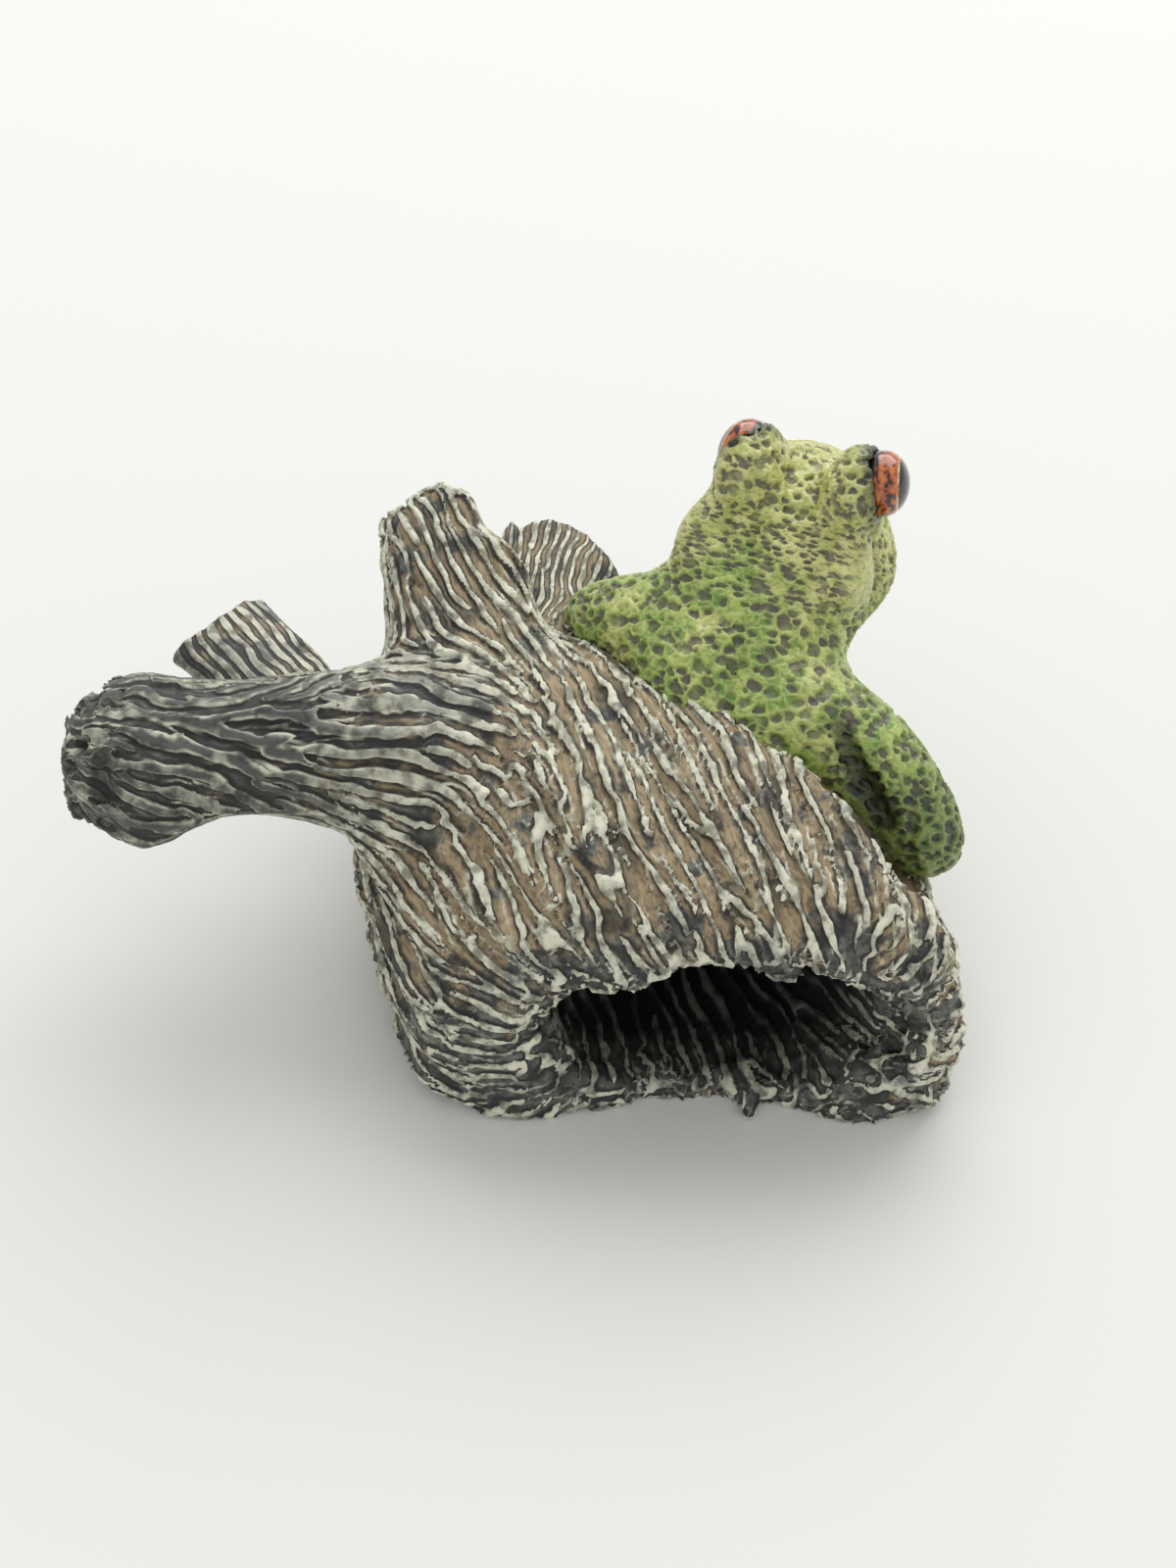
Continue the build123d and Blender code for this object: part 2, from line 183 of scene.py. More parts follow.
# Head: its turn and middle; centres are sideways, ahead and up, in shares of the eyes' spacing
HEAD_TURN = 22.0
SKULL = np.array([17.6, 32.0, 66.6])
EYE_SPACING = 25.4
EYE_CENTRE = (0.143, 0.176, 0.68)
EYE_RADIUS = 5.8
EYE_BULGE = 4.6
GAZE_TURN = 76.0
GAZE_RISE = 4.0
BROW_CENTRE = (0.088, 0.12, 0.63)
BROW_SPACING = 20.0
BROW_RADII = (5.8, 8.5, 7.4)
THROAT_CENTRE = (0.23, 0.265, -0.198)
THROAT_RADII = (13.5, 13.5, 10.0)
EAR_CENTRE = (0.0, -0.19, 0.11)
EAR_RADII = (4.6, 7.5, 6.5)
EAR_SPACING = 26.4
NOSTRIL_CENTRE = (0.0, 1.08, 0.165)
NOSTRIL_SPACING = 5.4
NOSTRIL_RADII = (0.9, 0.9, 0.7)
NECK_WEB = ((7.0, 25.0, 65.0, 6.5, 6.5), (0.0, 26.0, 59.5, 6.5, 6.5), (-8.0, 28.0, 54.5, 6.0, 6.0))
BACK_LINE = (
    (7.1, -0.5, 56.1), (8.2, 5.6, 60.9), (9.7, 12.1, 66.4),
    (10.7, 19.4, 71.4), (11.8, 26.1, 76.9), (15.4, 29.1, 83.2),
)
JAW_CREASE = ((33.2, 29.6, 76.0), (33.9, 26.7, 72.0), (34.2, 23.6, 66.3), (33.7, 22.4, 61.6))
ARMPIT = (
    (26.2, -2.2, 56.6, 0.8, 0.8), (28.4, -5.4, 52.0, 1.5, 1.5),
    (31.4, -7.9, 46.4, 2.0, 2.0), (35.0, -10.0, 40.5, 1.4, 1.4),
)
# Hands: each finger's turn from the wrist's way and its length, then sizes of fingers, hands and toe pads
FINGER_TURNS = (-52.0, -24.0, 4.0, 30.0)
FINGER_LENGTHS = (6.8, 8.0, 8.0, 6.4)
FINGER_RADIUS = 1.6
HAND_REACH = 19.5
TOE_RADII = (2.7, 2.7, 1.9)
# Way along the back, out to the snout
BACK_WAY = np.array([0.3, 0.72, 0.62])


def unit(v):
    """A vector at length one."""
    return v / np.linalg.norm(v)


def heading(degrees, pitch=0.0):
    """Unit vector that many degrees right of straight ahead, raised by the pitch."""
    a, b = np.radians(degrees), np.radians(pitch)
    return np.array([np.sin(a) * np.cos(b), np.cos(a) * np.cos(b), np.sin(b)])


HEAD_WAY = heading(HEAD_TURN)
HEAD_RIGHT = np.cross(HEAD_WAY, UP)


def ramp(value, start, end):
    """Share that goes from 0 at the start to 1 at the end in a straight line."""
    return np.clip((value - start) / (end - start), 0, 1)


def bell(value, width):
    """Share that is 1 at zero and falls away on both sides, to about a third at that width."""
    return np.exp(-((value / width) ** 2))


def smooth_curve(rows, count):
    """Rows sampled along a cubic that passes through each of them."""
    p = np.asarray(rows, float)
    q = np.vstack([2 * p[0] - p[1], p, 2 * p[-1] - p[-2]])
    t = np.linspace(0, len(p) - 1, count)
    i = np.minimum(t.astype(int), len(p) - 2)
    f = (t - i)[:, None]
    a, b, c, d = q[i], q[i + 1], q[i + 2], q[i + 3]
    return 0.5 * (2 * b + (c - a) * f + (2 * a - 5 * b + 4 * c - d) * f**2 + (3 * b - a - 3 * c + d) * f**3)


def join(a, b, width):
    """Smaller of two depths, rounded by a parabola where they are within a width of each other."""
    h = np.clip(0.5 + 0.5 * (b - a) / width, 0, 1)
    return b + (a - b) * h - width * h * (1 - h)


def cut(a, b, width):
    """Larger of two depths, rounded in the same way."""
    return -join(-a, -b, width)


def tube(p, rows, count=24, cap=0.8):
    """Depth inside a tapered tube: the least distance from its spans' lines, in units of the oval section."""
    s = smooth_curve(rows, count)
    best = np.full(len(p), 1e9)
    for k in range(count - 1):
        span = s[k + 1, :3] - s[k, :3]
        along = unit(span)
        side = unit(np.cross(along, UP))
        top = np.cross(side, along)
        q = p - s[k, :3]
        t = np.clip(q @ span / (span @ span), 0, 1)
        q = q - t[:, None] * span
        wide = s[k, 3] + t * (s[k + 1, 3] - s[k, 3])
        high = s[k, 4] + t * (s[k + 1, 4] - s[k, 4])
        least = np.minimum(wide, high)
        ratio = np.sqrt((q @ side / wide) ** 2 + (q @ top / high) ** 2 + (q @ along / (least * cap)) ** 2)
        best = np.minimum(best, (ratio - 1) * least)
    return best


def egg(p, centre, radii, turn=0.0):
    """Depth inside an ellipsoid that is turned about the vertical."""
    ahead = heading(turn)
    side = np.cross(ahead, UP)
    q = p - np.asarray(centre)
    ratio = np.sqrt((q @ side / radii[0]) ** 2 + (q @ ahead / radii[1]) ** 2 + (q @ UP / radii[2]) ** 2)
    return (ratio - 1) * min(radii)


def rounded_block(p, stations, power, bottom, cap, furrows=None):
    """Depth inside sections across the log, each a superellipse whose top slopes from side to side."""
    s = smooth_curve(stations, 60)
    left, right, left_top, right_top = (np.interp(p[:, 1], s[:, 0], s[:, k]) for k in range(1, 5))
    share = np.clip((p[:, 0] - left) / (right - left), 0, 1)
    top = left_top + (right_top - left_top) * share
    half_wide, half_high = (right - left) / 2, (top - bottom) / 2
    u = (p[:, 0] - (left + right) / 2) / half_wide
    v = (p[:, 2] - (top + bottom) / 2) / half_high
    depth = ((np.abs(u)**power + np.abs(v)**power) ** (1 / power) - 1) * np.minimum(half_wide, half_high) * 0.9
    if furrows:
        depth = depth - furrows(p, u, v, half_wide, half_high)
    return cut(depth, np.maximum(stations[0][0] - p[:, 1], p[:, 1] - stations[-1][0]), cap)


def power_of(value, power):
    """The value's size raised to a power, with the value's sign."""
    return np.sign(value) * np.abs(value) ** power


def way_round(u, v, flat):
    """Share of the log's girth from under its middle, walked along its outline.

    The places are scaled to the section's half sizes, and flat is its height over its width.
    """
    turn = np.linspace(-math.pi / 2, 1.5 * math.pi, 721)
    x, z = power_of(np.cos(turn), 2 / LOG_POWER), power_of(np.sin(turn), 2 / LOG_POWER)
    steps = []
    for squash in (0.4, 1.0):
        walked = np.concatenate([[0], np.cumsum(np.hypot(np.diff(x), squash * np.diff(z)))])
        steps.append(walked / walked[-1])
    angle = np.arctan2(power_of(v, LOG_POWER / 2), power_of(u, LOG_POWER / 2))
    angle = (angle + math.pi / 2) % (2 * math.pi) - math.pi / 2
    shares = [np.interp(angle, turn, step) for step in steps]
    return shares[0] + (shares[1] - shares[0]) * ramp(flat, 0.4, 1.0)


def log_furrows(p, u, v, half_wide, half_high):
    """The log's main furrows: a cosine of the way round it, leaning with the grain, each of its own depth."""
    turns = FURROWS * (way_round(u, v, half_high / half_wide) - p[:, 1] * GRAIN_LEAN / LOG_GIRTH)
    which = np.floor(turns + 0.5)
    depth = np.array(FURROW_DEPTHS)[which.astype(int) % len(FURROW_DEPTHS)]
    return 0.5 * FURROW_DEPTH * depth * np.cos(2 * math.pi * turns)


def lattice(cell, seed):
    """Steady pseudo-random number from 0 to 1 for each whole-numbered cell."""
    n = cell.astype(np.int64)
    h = (n[..., 0] * 73856093) ^ (n[..., 1] * 19349663) ^ (n[..., 2] * 83492791) ^ (seed * 2654435761)
    h = (h ^ (h >> 13)) * 1274126177 & 0x7FFFFFFF
    return ((h ^ (h >> 16)) & 0xFFFFF) / 0xFFFFF


def lumps(p, size, seed):
    """Smooth noise from -1 to 1 with lumps of that size: lattice numbers blended by a cubic."""
    q = p / size
    base = np.floor(q)
    f = q - base
    f = f * f * (3 - 2 * f)
    total = 0
    for corner in np.ndindex(2, 2, 2):
        weight = np.prod(np.where(corner, f, 1 - f), axis=-1)
        total = total + weight * lattice(base + np.array(corner), seed)
    return 2 * total - 1


def net_surface(depth, low, high, spacing):
    """Skin where depth is zero, as points and four-sided faces.

    Depth is read on a coarse grid, then on a fine one near the skin. Each fine cell that the skin passes
    holds one point, the mean of where the skin crosses the cell's edges, and each crossed edge gets the
    face between its four cells.
    """
    # A coarse cell is this many fine ones, and the skin may lie this many coarse cells from a place near it
    coarse, reach = 4, 1.4
    low = np.asarray(low, float)
    count = np.ceil((np.asarray(high) - low) / (spacing * coarse)).astype(int)
    fine = count * coarse

    def window(corner, size):
        return tuple(slice(c, n + c) for c, n in zip(corner, size))

    def spread(grid):
        return grid.repeat(coarse, 0).repeat(coarse, 1).repeat(coarse, 2)

    def read(points):
        parts = max(1, len(points) // 200000)
        return np.concatenate([depth(part) for part in np.array_split(points, parts)])

    nodes = np.stack(np.meshgrid(*(np.arange(n + 1) for n in count), indexing="ij"), -1)
    rough = read(low + nodes.reshape(-1, 3) * spacing * coarse).reshape(count + 1)
    near = np.abs(rough) < reach * spacing * coarse
    cells = np.zeros(count, bool)
    for corner in np.ndindex(2, 2, 2):
        cells |= near[window(corner, count)]
    cells = spread(cells)
    band = np.zeros(fine + 1, bool)
    for corner in np.ndindex(2, 2, 2):
        band[window(corner, fine)] |= cells
    value = np.pad(spread(np.sign(rough[:-1, :-1, :-1])), ((0, 1),) * 3, mode="edge") * 1e3
    value[band] = read(low + np.argwhere(band) * spacing)
    inside = value < 0
    total = np.zeros(fine, np.int8)
    for corner in np.ndindex(2, 2, 2):
        total += inside[window(corner, fine)]
    active = (total > 0) & (total < 8)
    where = np.argwhere(active)
    index = -np.ones(tuple(fine), np.int64)
    index[active] = np.arange(len(where))
    sums, hits = np.zeros((len(where), 3)), np.zeros(len(where))
    for axis in range(3):
        for other in np.ndindex(2, 2):
            start = np.insert(other, axis, 0)
            end = np.insert(other, axis, 1)
            a = value[tuple((where + start).T)]
            b = value[tuple((where + end).T)]
            crossed = (a < 0) != (b < 0)
            t = np.where(crossed, a / np.where(crossed, a - b, 1), 0)
            step = np.tile(start.astype(float), (len(where), 1))
            step[:, axis] = t
            sums += step * crossed[:, None]
            hits += crossed
    points = low + (where + sums / hits[:, None]) * spacing
    faces = []
    for axis in range(3):
        first, second = [slice(1, n) for n in fine], [slice(1, n) for n in fine]
        first[axis], second[axis] = slice(0, fine[axis]), slice(1, fine[axis] + 1)
        a, b = inside[tuple(first)], inside[tuple(second)]
        edge = np.argwhere(a != b)
        flip = a[a != b] if axis != 1 else ~a[a != b]
        one, two = [k for k in range(3) if k != axis]
        edge[:, one] += 1
        edge[:, two] += 1
        corners = []
        for back in ((1, 1), (0, 1), (0, 0), (1, 0)):
            cell = edge.copy()
            cell[:, one] -= back[0]
            cell[:, two] -= back[1]
            corners.append(index[tuple(cell.T)])
        quad = np.stack(corners, -1)
        quad[~flip] = quad[~flip][:, ::-1]
        faces.append(quad)
    return points, np.concatenate(faces)


def tube_place(p, rows, count=24):
    """For each point: how far along the tube's line it is, and its offset from that line."""
    s = smooth_curve(rows, count)[:, :3]
    lengths = np.linalg.norm(np.diff(s, axis=0), axis=1)
    best = np.full(len(p), 1e9)
    along = np.zeros(len(p))
    offset = np.zeros((len(p), 3))
    for k in range(count - 1):
        span = s[k + 1] - s[k]
        t = np.clip((p - s[k]) @ span / lengths[k] ** 2, 0, 1)
        off = p - s[k] - t[:, None] * span
        far = np.einsum("ij,ij->i", off, off)
        closer = far < best
        best = np.where(closer, far, best)
        along = np.where(closer, lengths[:k].sum() + t * lengths[k], along)
        offset[closer] = off[closer]
    return along, offset


def near_only(p, rows, depth, margin=14.0):
    """A depth worked out only near its rows' box; elsewhere the distance to the box stands in."""
    r = np.asarray(rows)
    size = r[:, 3:].max(axis=1)[:, None]
    low, high = (r[:, :3] - size).min(axis=0), (r[:, :3] + size).max(axis=0)
    away = np.linalg.norm(np.maximum(np.maximum(low - p, p - high), 0), axis=1)
    result = away + 1.0
    close = away < margin
    result[close] = depth(p[close])
    return result


def tube_near(p, rows, count=24, cap=0.8):
    """A tapered tube's depth, worked out only near it."""
    return near_only(p, rows, lambda q: tube(q, rows, count, cap))


def from_line(p, rows):
    """Distance from a line through the rows."""
    return np.linalg.norm(tube_place(p, rows)[1], axis=1)


def beyond(p, rows, k):
    """Distance past the joint of a tapered piece, along its line there."""
    r = np.asarray(rows)[:, :3]
    return (p - r[k]) @ unit(r[k + 1] - r[k - 1])


def piece_region(p, rows, k, reach):
    """Below zero where a tapered piece lies past its joint, and round an arm's hand."""
    region = np.maximum(-beyond(p, rows, k), tube_near(p, rows) - reach)
    if rows in (LEFT_ARM, RIGHT_ARM):
        region = np.minimum(region, np.linalg.norm(p - rows[-1][:3], axis=1) - HAND_REACH)
    return region


def break_depth(p):
    """Below zero in the front that broke away: outside the crown's two ragged faces and above the lip."""
    flat = p[:, :2] - BREAK_CORNER
    ragged = 1.1 * lumps(p * (1, 1, 0.35), 5.0, 7) + 0.5 * lumps(p * (1, 1, 0.3), 2.1, 8)
    crown = flat @ heading(CROWN_NORMAL)[:2] + ragged
    flap = flat @ heading(FLAP_NORMAL)[:2] + ragged
    return -join(join(crown, flap, 2.0), p[:, 2] - LIP_HEIGHT - 0.5 * ragged, 2.0)


def log_block(p):
    """The log's outside alone."""
    return rounded_block(p, LOG_STATIONS, LOG_POWER, LOG_SINK, LOG_ROUNDING)


def hollow_depth(p):
    """The hollow, before its rim is made lumpy."""
    return rounded_block(p, HOLLOW_STATIONS, HOLLOW_POWER, HOLLOW_FLOOR, HOLLOW_ROUNDING)


def log_depth(p):
    """The log: a block of rounded sections, less its broken front, scoop, hollow and bite at its mouth."""
    d = rounded_block(p, LOG_STATIONS, LOG_POWER, LOG_SINK, LOG_ROUNDING, log_furrows)
    d = cut(d, -break_depth(p), 1.5)
    d = cut(d, -egg(p, BOWL_CENTRE, BOWL_RADII), 2.0)
    mouth = bell(p[:, 1] - MOUTH, MOUTH_REACH)
    hollow = hollow_depth(p) + mouth * (1.7 * lumps(p, 5.0, 3) + 1.2 * lumps(p, 2.6, 4))
    d = cut(d, -hollow, 5.0)
    ring = np.hypot(p[:, 0] - BITE_CENTRE[0], p[:, 1] - BITE_CENTRE[1]) - BITE_RADIUS
    d = cut(d, -cut(ring, p[:, 2] - BITE_HEIGHT, 8.0), 2.0)
    d = join(d, tube_near(p, THORN, 6), 1.5)
    return d + mouth * 0.8 * lumps(p, 6.5, 5) + 0.5 * lumps(p, 12.0, 6)


def end_pits(p):
    """Shares of the holes in the long limb's broken end: noise above a level."""
    return np.clip(3.0 * (lumps(p, 2.9, 11) - 0.02), 0, 1)


def left_limb_depth(p):
    """The long limb, with pits in its cut end."""
    x = p[:, 0]
    end = ramp(x, LIMB_RAGGED, LIMB_RAGGED - 5.0)
    knob = bell(x - LIMB_KNOB, 6.0) - 0.9 * bell(x - LIMB_WAIST, 9.0)
    d = cut(tube_near(p, LEFT_LIMB) - knob * 0.9, LIMB_END - x, 4.0)
    return d + end * (1.5 * end_pits(p) + 0.4 * lumps(p, 2.4, 12))


def rear_limb_depth(p):
    """The short limb behind, with a ragged top that slopes down to the right and is split by a crack."""
    x, y, z = p.T
    end = ramp(y, REAR_RAGGED, REAR_RAGGED + 8.0)
    crack = bell(x - REAR_CRACK[0] + 0.15 * (y - REAR_CRACK[1]), 1.1)
    crack = crack * ramp(z, REAR_CRACK_FLOOR, REAR_CRACK_FLOOR + 4.0)
    slope = ramp(x, REAR_CRACK[0] - 2.0, REAR_CRACK[0] + 7.0)
    ragged = 1.4 * lumps(p, 7.0, 13) + 1.0 * lumps(p, 3.4, 14)
    return tube_near(p, REAR_LIMB) + end * (ragged + 1.6 * crack + 5.0 * slope)


def flap_depth(p):
    """The flap of bark: two overlapping layers, the far one longer, with a slanting torn edge."""
    torn = (p[:, :2] - FLAP_TEAR) @ unit(FLAP_TEAR_WAY) + 0.9 * lumps(p * (1, 1, 0.3), 3.0, 23)
    step = ramp(p[:, 0] + 0.35 * (p[:, 1] - FLAP_STEP[1]), FLAP_STEP[0], FLAP_STEP[0] + 1.0)
    step = step * ramp(p[:, 1], FLAP_STEP[1] - 6.0, FLAP_STEP[1] - 3.0)
    return cut(tube_near(p, FLAP, 20, 0.3) + 1.3 * step, torn, 1.5)


def twig_depth(p):
    """The flat stub on the long limb, torn off unevenly."""
    way = unit(np.array(TWIG[-1][:3]) - TWIG[-2][:3])
    torn = (p - TWIG[-1][:3]) @ way + 0.9 * lumps(p * (1, 1, 0.3), 3.2, 21)
    return cut(tube_near(p, TWIG, 20, 0.3), torn, 1.0)


def wave(turns):
    """Cosine and sine of a number of turns, as a vector field."""
    return np.column_stack([np.cos(2 * math.pi * turns), np.sin(2 * math.pi * turns), np.zeros(len(turns))])


def strands(p, rows, period, fan):
    """Wave across a flat torn piece: even strands along it that fan out towards its end."""
    r = np.asarray(rows)[:, :3]
    across = unit(np.cross(r[-1] - r[0], UP))
    q = p - r[0]
    spread = period * (1 + fan * (q @ unit(r[-1] - r[0])))
    turns = (q @ across + 1.0 * lumps(p, 6.0, 22) + 0.3 * lumps(p, 2.5, 24)) / spread
    return wave(turns)


def wood_depth(p):
    """Log, limbs, twig and flap, blended into one another."""
    d = near_only(p, LOG_BOX, log_depth)
    for limb, width in ((left_limb_depth, 9.0), (rear_limb_depth, 8.0), (twig_depth, 4.0), (flap_depth, 4.0)):
        d = join(d, limb(p), width)
    return np.maximum(d, -p[:, 2])


def frog_depth(p):
    """Trunk, head, brows, throat, ears and arms, blended into one another.

    Sockets and nostrils are cut out, and the grooves at back, jaw and mouth are bells of the distance
    from their lines.
    """
    d = tube(p, SPINE, 32)
    for side in (-1, 1):
        d = join(d, egg(p, head_place(side * BROW_SPACING / 2, BROW_CENTRE), BROW_RADII, HEAD_TURN), 6.0)
        d = join(d, egg(p, head_place(side * EAR_SPACING / 2, EAR_CENTRE), EAR_RADII, HEAD_TURN), 2.5)
    d = join(d, egg(p, head_place(0.0, THROAT_CENTRE), THROAT_RADII, HEAD_TURN), 6.0)
    for rows in (LEFT_ARM, RIGHT_ARM):
        d = join(d, near_only(p, rows, lambda q: arm_depth(q, rows)), 6.0 if rows is LEFT_ARM else 4.0)
    d = join(d, tube_near(p, NECK_WEB, 6), 6.0)
    d = cut(d, -tube_near(p, ARMPIT, 8), 2.5)
    away = from_line(p, BACK_LINE)
    d = d + 0.6 * bell(away, 1.0) - 0.45 * bell(away - 2.5, 1.4)
    d = d + 0.9 * bell(from_line(p, JAW_CREASE), 1.2)
    for side in (-1, 1):
        d = cut(d, -eye_depth(p, side, 0.0) + 0.1, 0.8)
        d = cut(d, -egg(p, head_place(side * NOSTRIL_SPACING / 2, NOSTRIL_CENTRE), NOSTRIL_RADII), 0.8)
    ahead = (p - SKULL) @ HEAD_WAY
    beside = (p - SKULL) @ HEAD_RIGHT
    above = p[:, 2] - (SKULL[2] + 0.6 - 0.012 * beside**2 + 0.6 * bell(beside, 4.0))
    return d + 0.8 * bell(above, 0.6) * ramp(ahead, 7.0, 12.0)


def eye_gaze(side):
    """Unit vector out of an eye, sideways and a little ahead."""
    return heading(HEAD_TURN + side * GAZE_TURN, GAZE_RISE)


def eye_depth(p, side, grow):
    """Depth inside an eye: a ball flattened along its gaze."""
    q = p - head_place(side * EYE_SPACING / 2, EYE_CENTRE)
    out = q @ eye_gaze(side)
    aside = np.einsum("ij,ij->i", q, q) - out**2
    ratio = np.sqrt(aside / (EYE_RADIUS + grow) ** 2 + (out / (EYE_BULGE + grow)) ** 2)
    return (ratio - 1) * EYE_BULGE


def head_place(side, shares):
    """A place on the head: sideways, ahead and up from the skull, turned with it."""
    level = HEAD_RIGHT * (side + shares[0] * EYE_SPACING)
    return SKULL + level + (HEAD_WAY * shares[1] + UP * shares[2]) * EYE_SPACING


def arm_depth(p, rows):
    """An arm with a flat hand: four fingers fanned from the wrist, each with a round toe pad."""
    d = tube(p, rows)
    wrist = np.array(rows[-1][:3])
    ahead = wrist - np.array(rows[-2][:3])
    facing = math.degrees(math.atan2(ahead[0], ahead[1]))
    for turn, length in zip(FINGER_TURNS, FINGER_LENGTHS):
        way = heading(facing + turn)
        tip = wrist + way * (length + rows[-1][3])
        tip[2] = LIP_HEIGHT + TOE_RADII[2] - 0.3
        bone = ((*wrist, FINGER_RADIUS * 1.3, FINGER_RADIUS * 1.2), (*tip, FINGER_RADIUS, FINGER_RADIUS))
        finger = join(tube(p, bone, 4), egg(p, tip, TOE_RADII), 1.5)
        d = join(d, finger, 2.0)
    return d


def skin_normals(points, faces):
    """Unit normal at each point: the mean of its faces', each the cross product of the face's diagonals."""
    a, b, c, d = (points[faces[:, k]] for k in range(4))
    face = np.cross(c - a, d - b)
    total = np.zeros_like(points)
    for k in range(4):
        np.add.at(total, faces[:, k], face)
    return total / (np.linalg.norm(total, axis=1)[:, None] + 1e-9)


def new_object(name, data):
    """An object in the scene."""
    made = bpy.data.objects.new(name, data)
    bpy.context.scene.collection.objects.link(made)
    return made


def carve(name, points, faces, fields, carving=None):
    """Mesh in metres with its fields as attributes; a carving moves its skin, but not below the base."""
    mesh = bpy.data.meshes.new(name)
    mesh.from_pydata(points * METRES, [], faces)
    for field, values in fields.items():
        layer = mesh.attributes.new(field, "FLOAT_VECTOR", "POINT")
        layer.data.foreach_set("vector", np.ascontiguousarray(values, dtype=np.float32).ravel())
    piece = new_object(name, mesh)
    if carving:
        piece.modifiers.new("carving", "NODES").node_group = carving
        shape = piece.evaluated_get(bpy.context.evaluated_depsgraph_get())
        carved = bpy.data.meshes.new_from_object(shape)
        piece.modifiers.clear()
        piece.data = carved
        bpy.data.meshes.remove(mesh)
        mesh = carved
        mesh.name = name
    places = np.empty(len(mesh.vertices) * 3, np.float32)
    mesh.vertices.foreach_get("co", places)
    places = places.reshape(-1, 3)
    places[:, 2] = np.maximum(places[:, 2], 0)
    mesh.vertices.foreach_set("co", places.ravel())
    mesh.polygons.foreach_set("use_smooth", np.ones(len(mesh.polygons), bool))
    mesh.update()
    return piece


# Grain runs along the log from its broken front to its mouth, and along each limb towards the log
LOG_WAY = unit(np.array([0.33, -0.94, 0.0]))
LOG_ACROSS = np.array([0.94, 0.33, 0.0])
LOG_CELL = (4.6, 4.6, 40.0)
HOLLOW_MIDDLE = np.array([5.0, -44.0, 16.0])
RIDGE_SPACINGS = (3.5, 3.9, 3.4, 2.6, 2.6)
LIMBS = (LEFT_LIMB, REAR_LIMB, TWIG, FLAP)
GRAIN_LEANS = ((0.0, -0.14, -0.14), (0.42, 0.0, 0.0), (0.0, 0.0, 0.0), (0.0, 0.0, 0.0))
# Of each limb: where its grain meets the log's, its cell, and its twist in degrees for each millimetre
LIMB_GRAINS = (
    ((-44.0, 1.0, 55.0), (3.6, 3.6, 40.0), 0.35),
    ((-36.0, 14.0, 55.0), (3.0, 3.0, 20.0), 0.3),
    ((-69.0, 8.0, 54.0), (2.5, 4.0, 22.0), 0.0),
    ((-25.0, 34.0, 44.0), (2.4, 4.0, 24.0), 0.0),
)
# Cells of the ridge and furrow waves, the furrows' share of the spacing, and a train's size in cells
RIDGE_CELL = 9.0
FURROW_CELL = 7.0
FURROW_SHARE = 0.6
TRAIN_LENGTH = 1.1
TRAIN_WIDTH = 0.55
# Strands of twig and flap: their spacing, and how fast it grows along the piece
TWIG_STRANDS = (2.4, 0.0)
FLAP_STRANDS = (1.5, 0.012)


def log_grain(p):
    """Grain of the log in cells: across, up and along it."""
    return np.column_stack([p @ LOG_ACROSS / LOG_CELL[0], p[:, 2] / LOG_CELL[1], p @ LOG_WAY / LOG_CELL[2]])


def limb_grain(p, rows, place, cell, twist):
    """Grain of a limb in cells: offset from its line and way along it, matched to the log's at a place."""
    along, offset = tube_place(p, rows)
    r = np.asarray(rows)[:, :3]
    way = unit(r[-1] - r[0])
    side = unit(np.cross(UP, way))
    top = np.cross(way, side)
    turn = np.radians(twist) * along
    u, v = offset @ side, offset @ top
    u, v = u * np.cos(turn) - v * np.sin(turn), u * np.sin(turn) + v * np.cos(turn)
    here = np.array([place])
    start = log_grain(here)[0]
    along_here, offset_here = tube_place(here, rows)
    return np.column_stack([
        start[0] + (offset_here @ side - u) / cell[0],
        start[1] + (v - offset_here @ top) / cell[1],
        start[2] - (along - along_here) / cell[2],
    ])


def wood_shares(p):
    """Shares of the log and each limb at the points, which fall off with their depths and add up to 1."""
    depths = [near_only(p, LOG_BOX, log_block)] + [tube_near(p, rows) for rows in LIMBS]
    weights = np.exp(-np.clip(np.column_stack(depths), -2.0, 40.0) / 2.2)
    return weights / weights.sum(axis=1)[:, None]


def wood_way(p):
    """Way of the grain, along log or limb and over the mouth's rim into the hollow, and its spacing."""
    weights = wood_shares(p)
    ways = [LOG_WAY]
    for rows, lean in zip(LIMBS, GRAIN_LEANS):
        r = np.asarray(rows)[:, :3]
        ways.append(unit(unit(r[0] - r[-1]) + lean))
    way = sum(weights[:, k, None] * ways[k] for k in range(5))
    rim = bell(p[:, 1] - (MOUTH - 4.0), 5.0)[:, None]
    inward = (HOLLOW_MIDDLE - p) * (1, 0, 1)
    inward /= np.linalg.norm(inward, axis=1)[:, None] + 1e-6
    way = way * (1 - rim) + inward * rim
    way += (0.24 + 0.26 * weights[:, 1, None]) * np.column_stack([lumps(p, 16.0, 41 + k) for k in range(3)])
    way += 0.22 * np.column_stack([lumps(p, 7.0, 45 + k) for k in range(3)])
    return way / np.linalg.norm(way, axis=1)[:, None], weights @ np.array(RIDGE_SPACINGS)


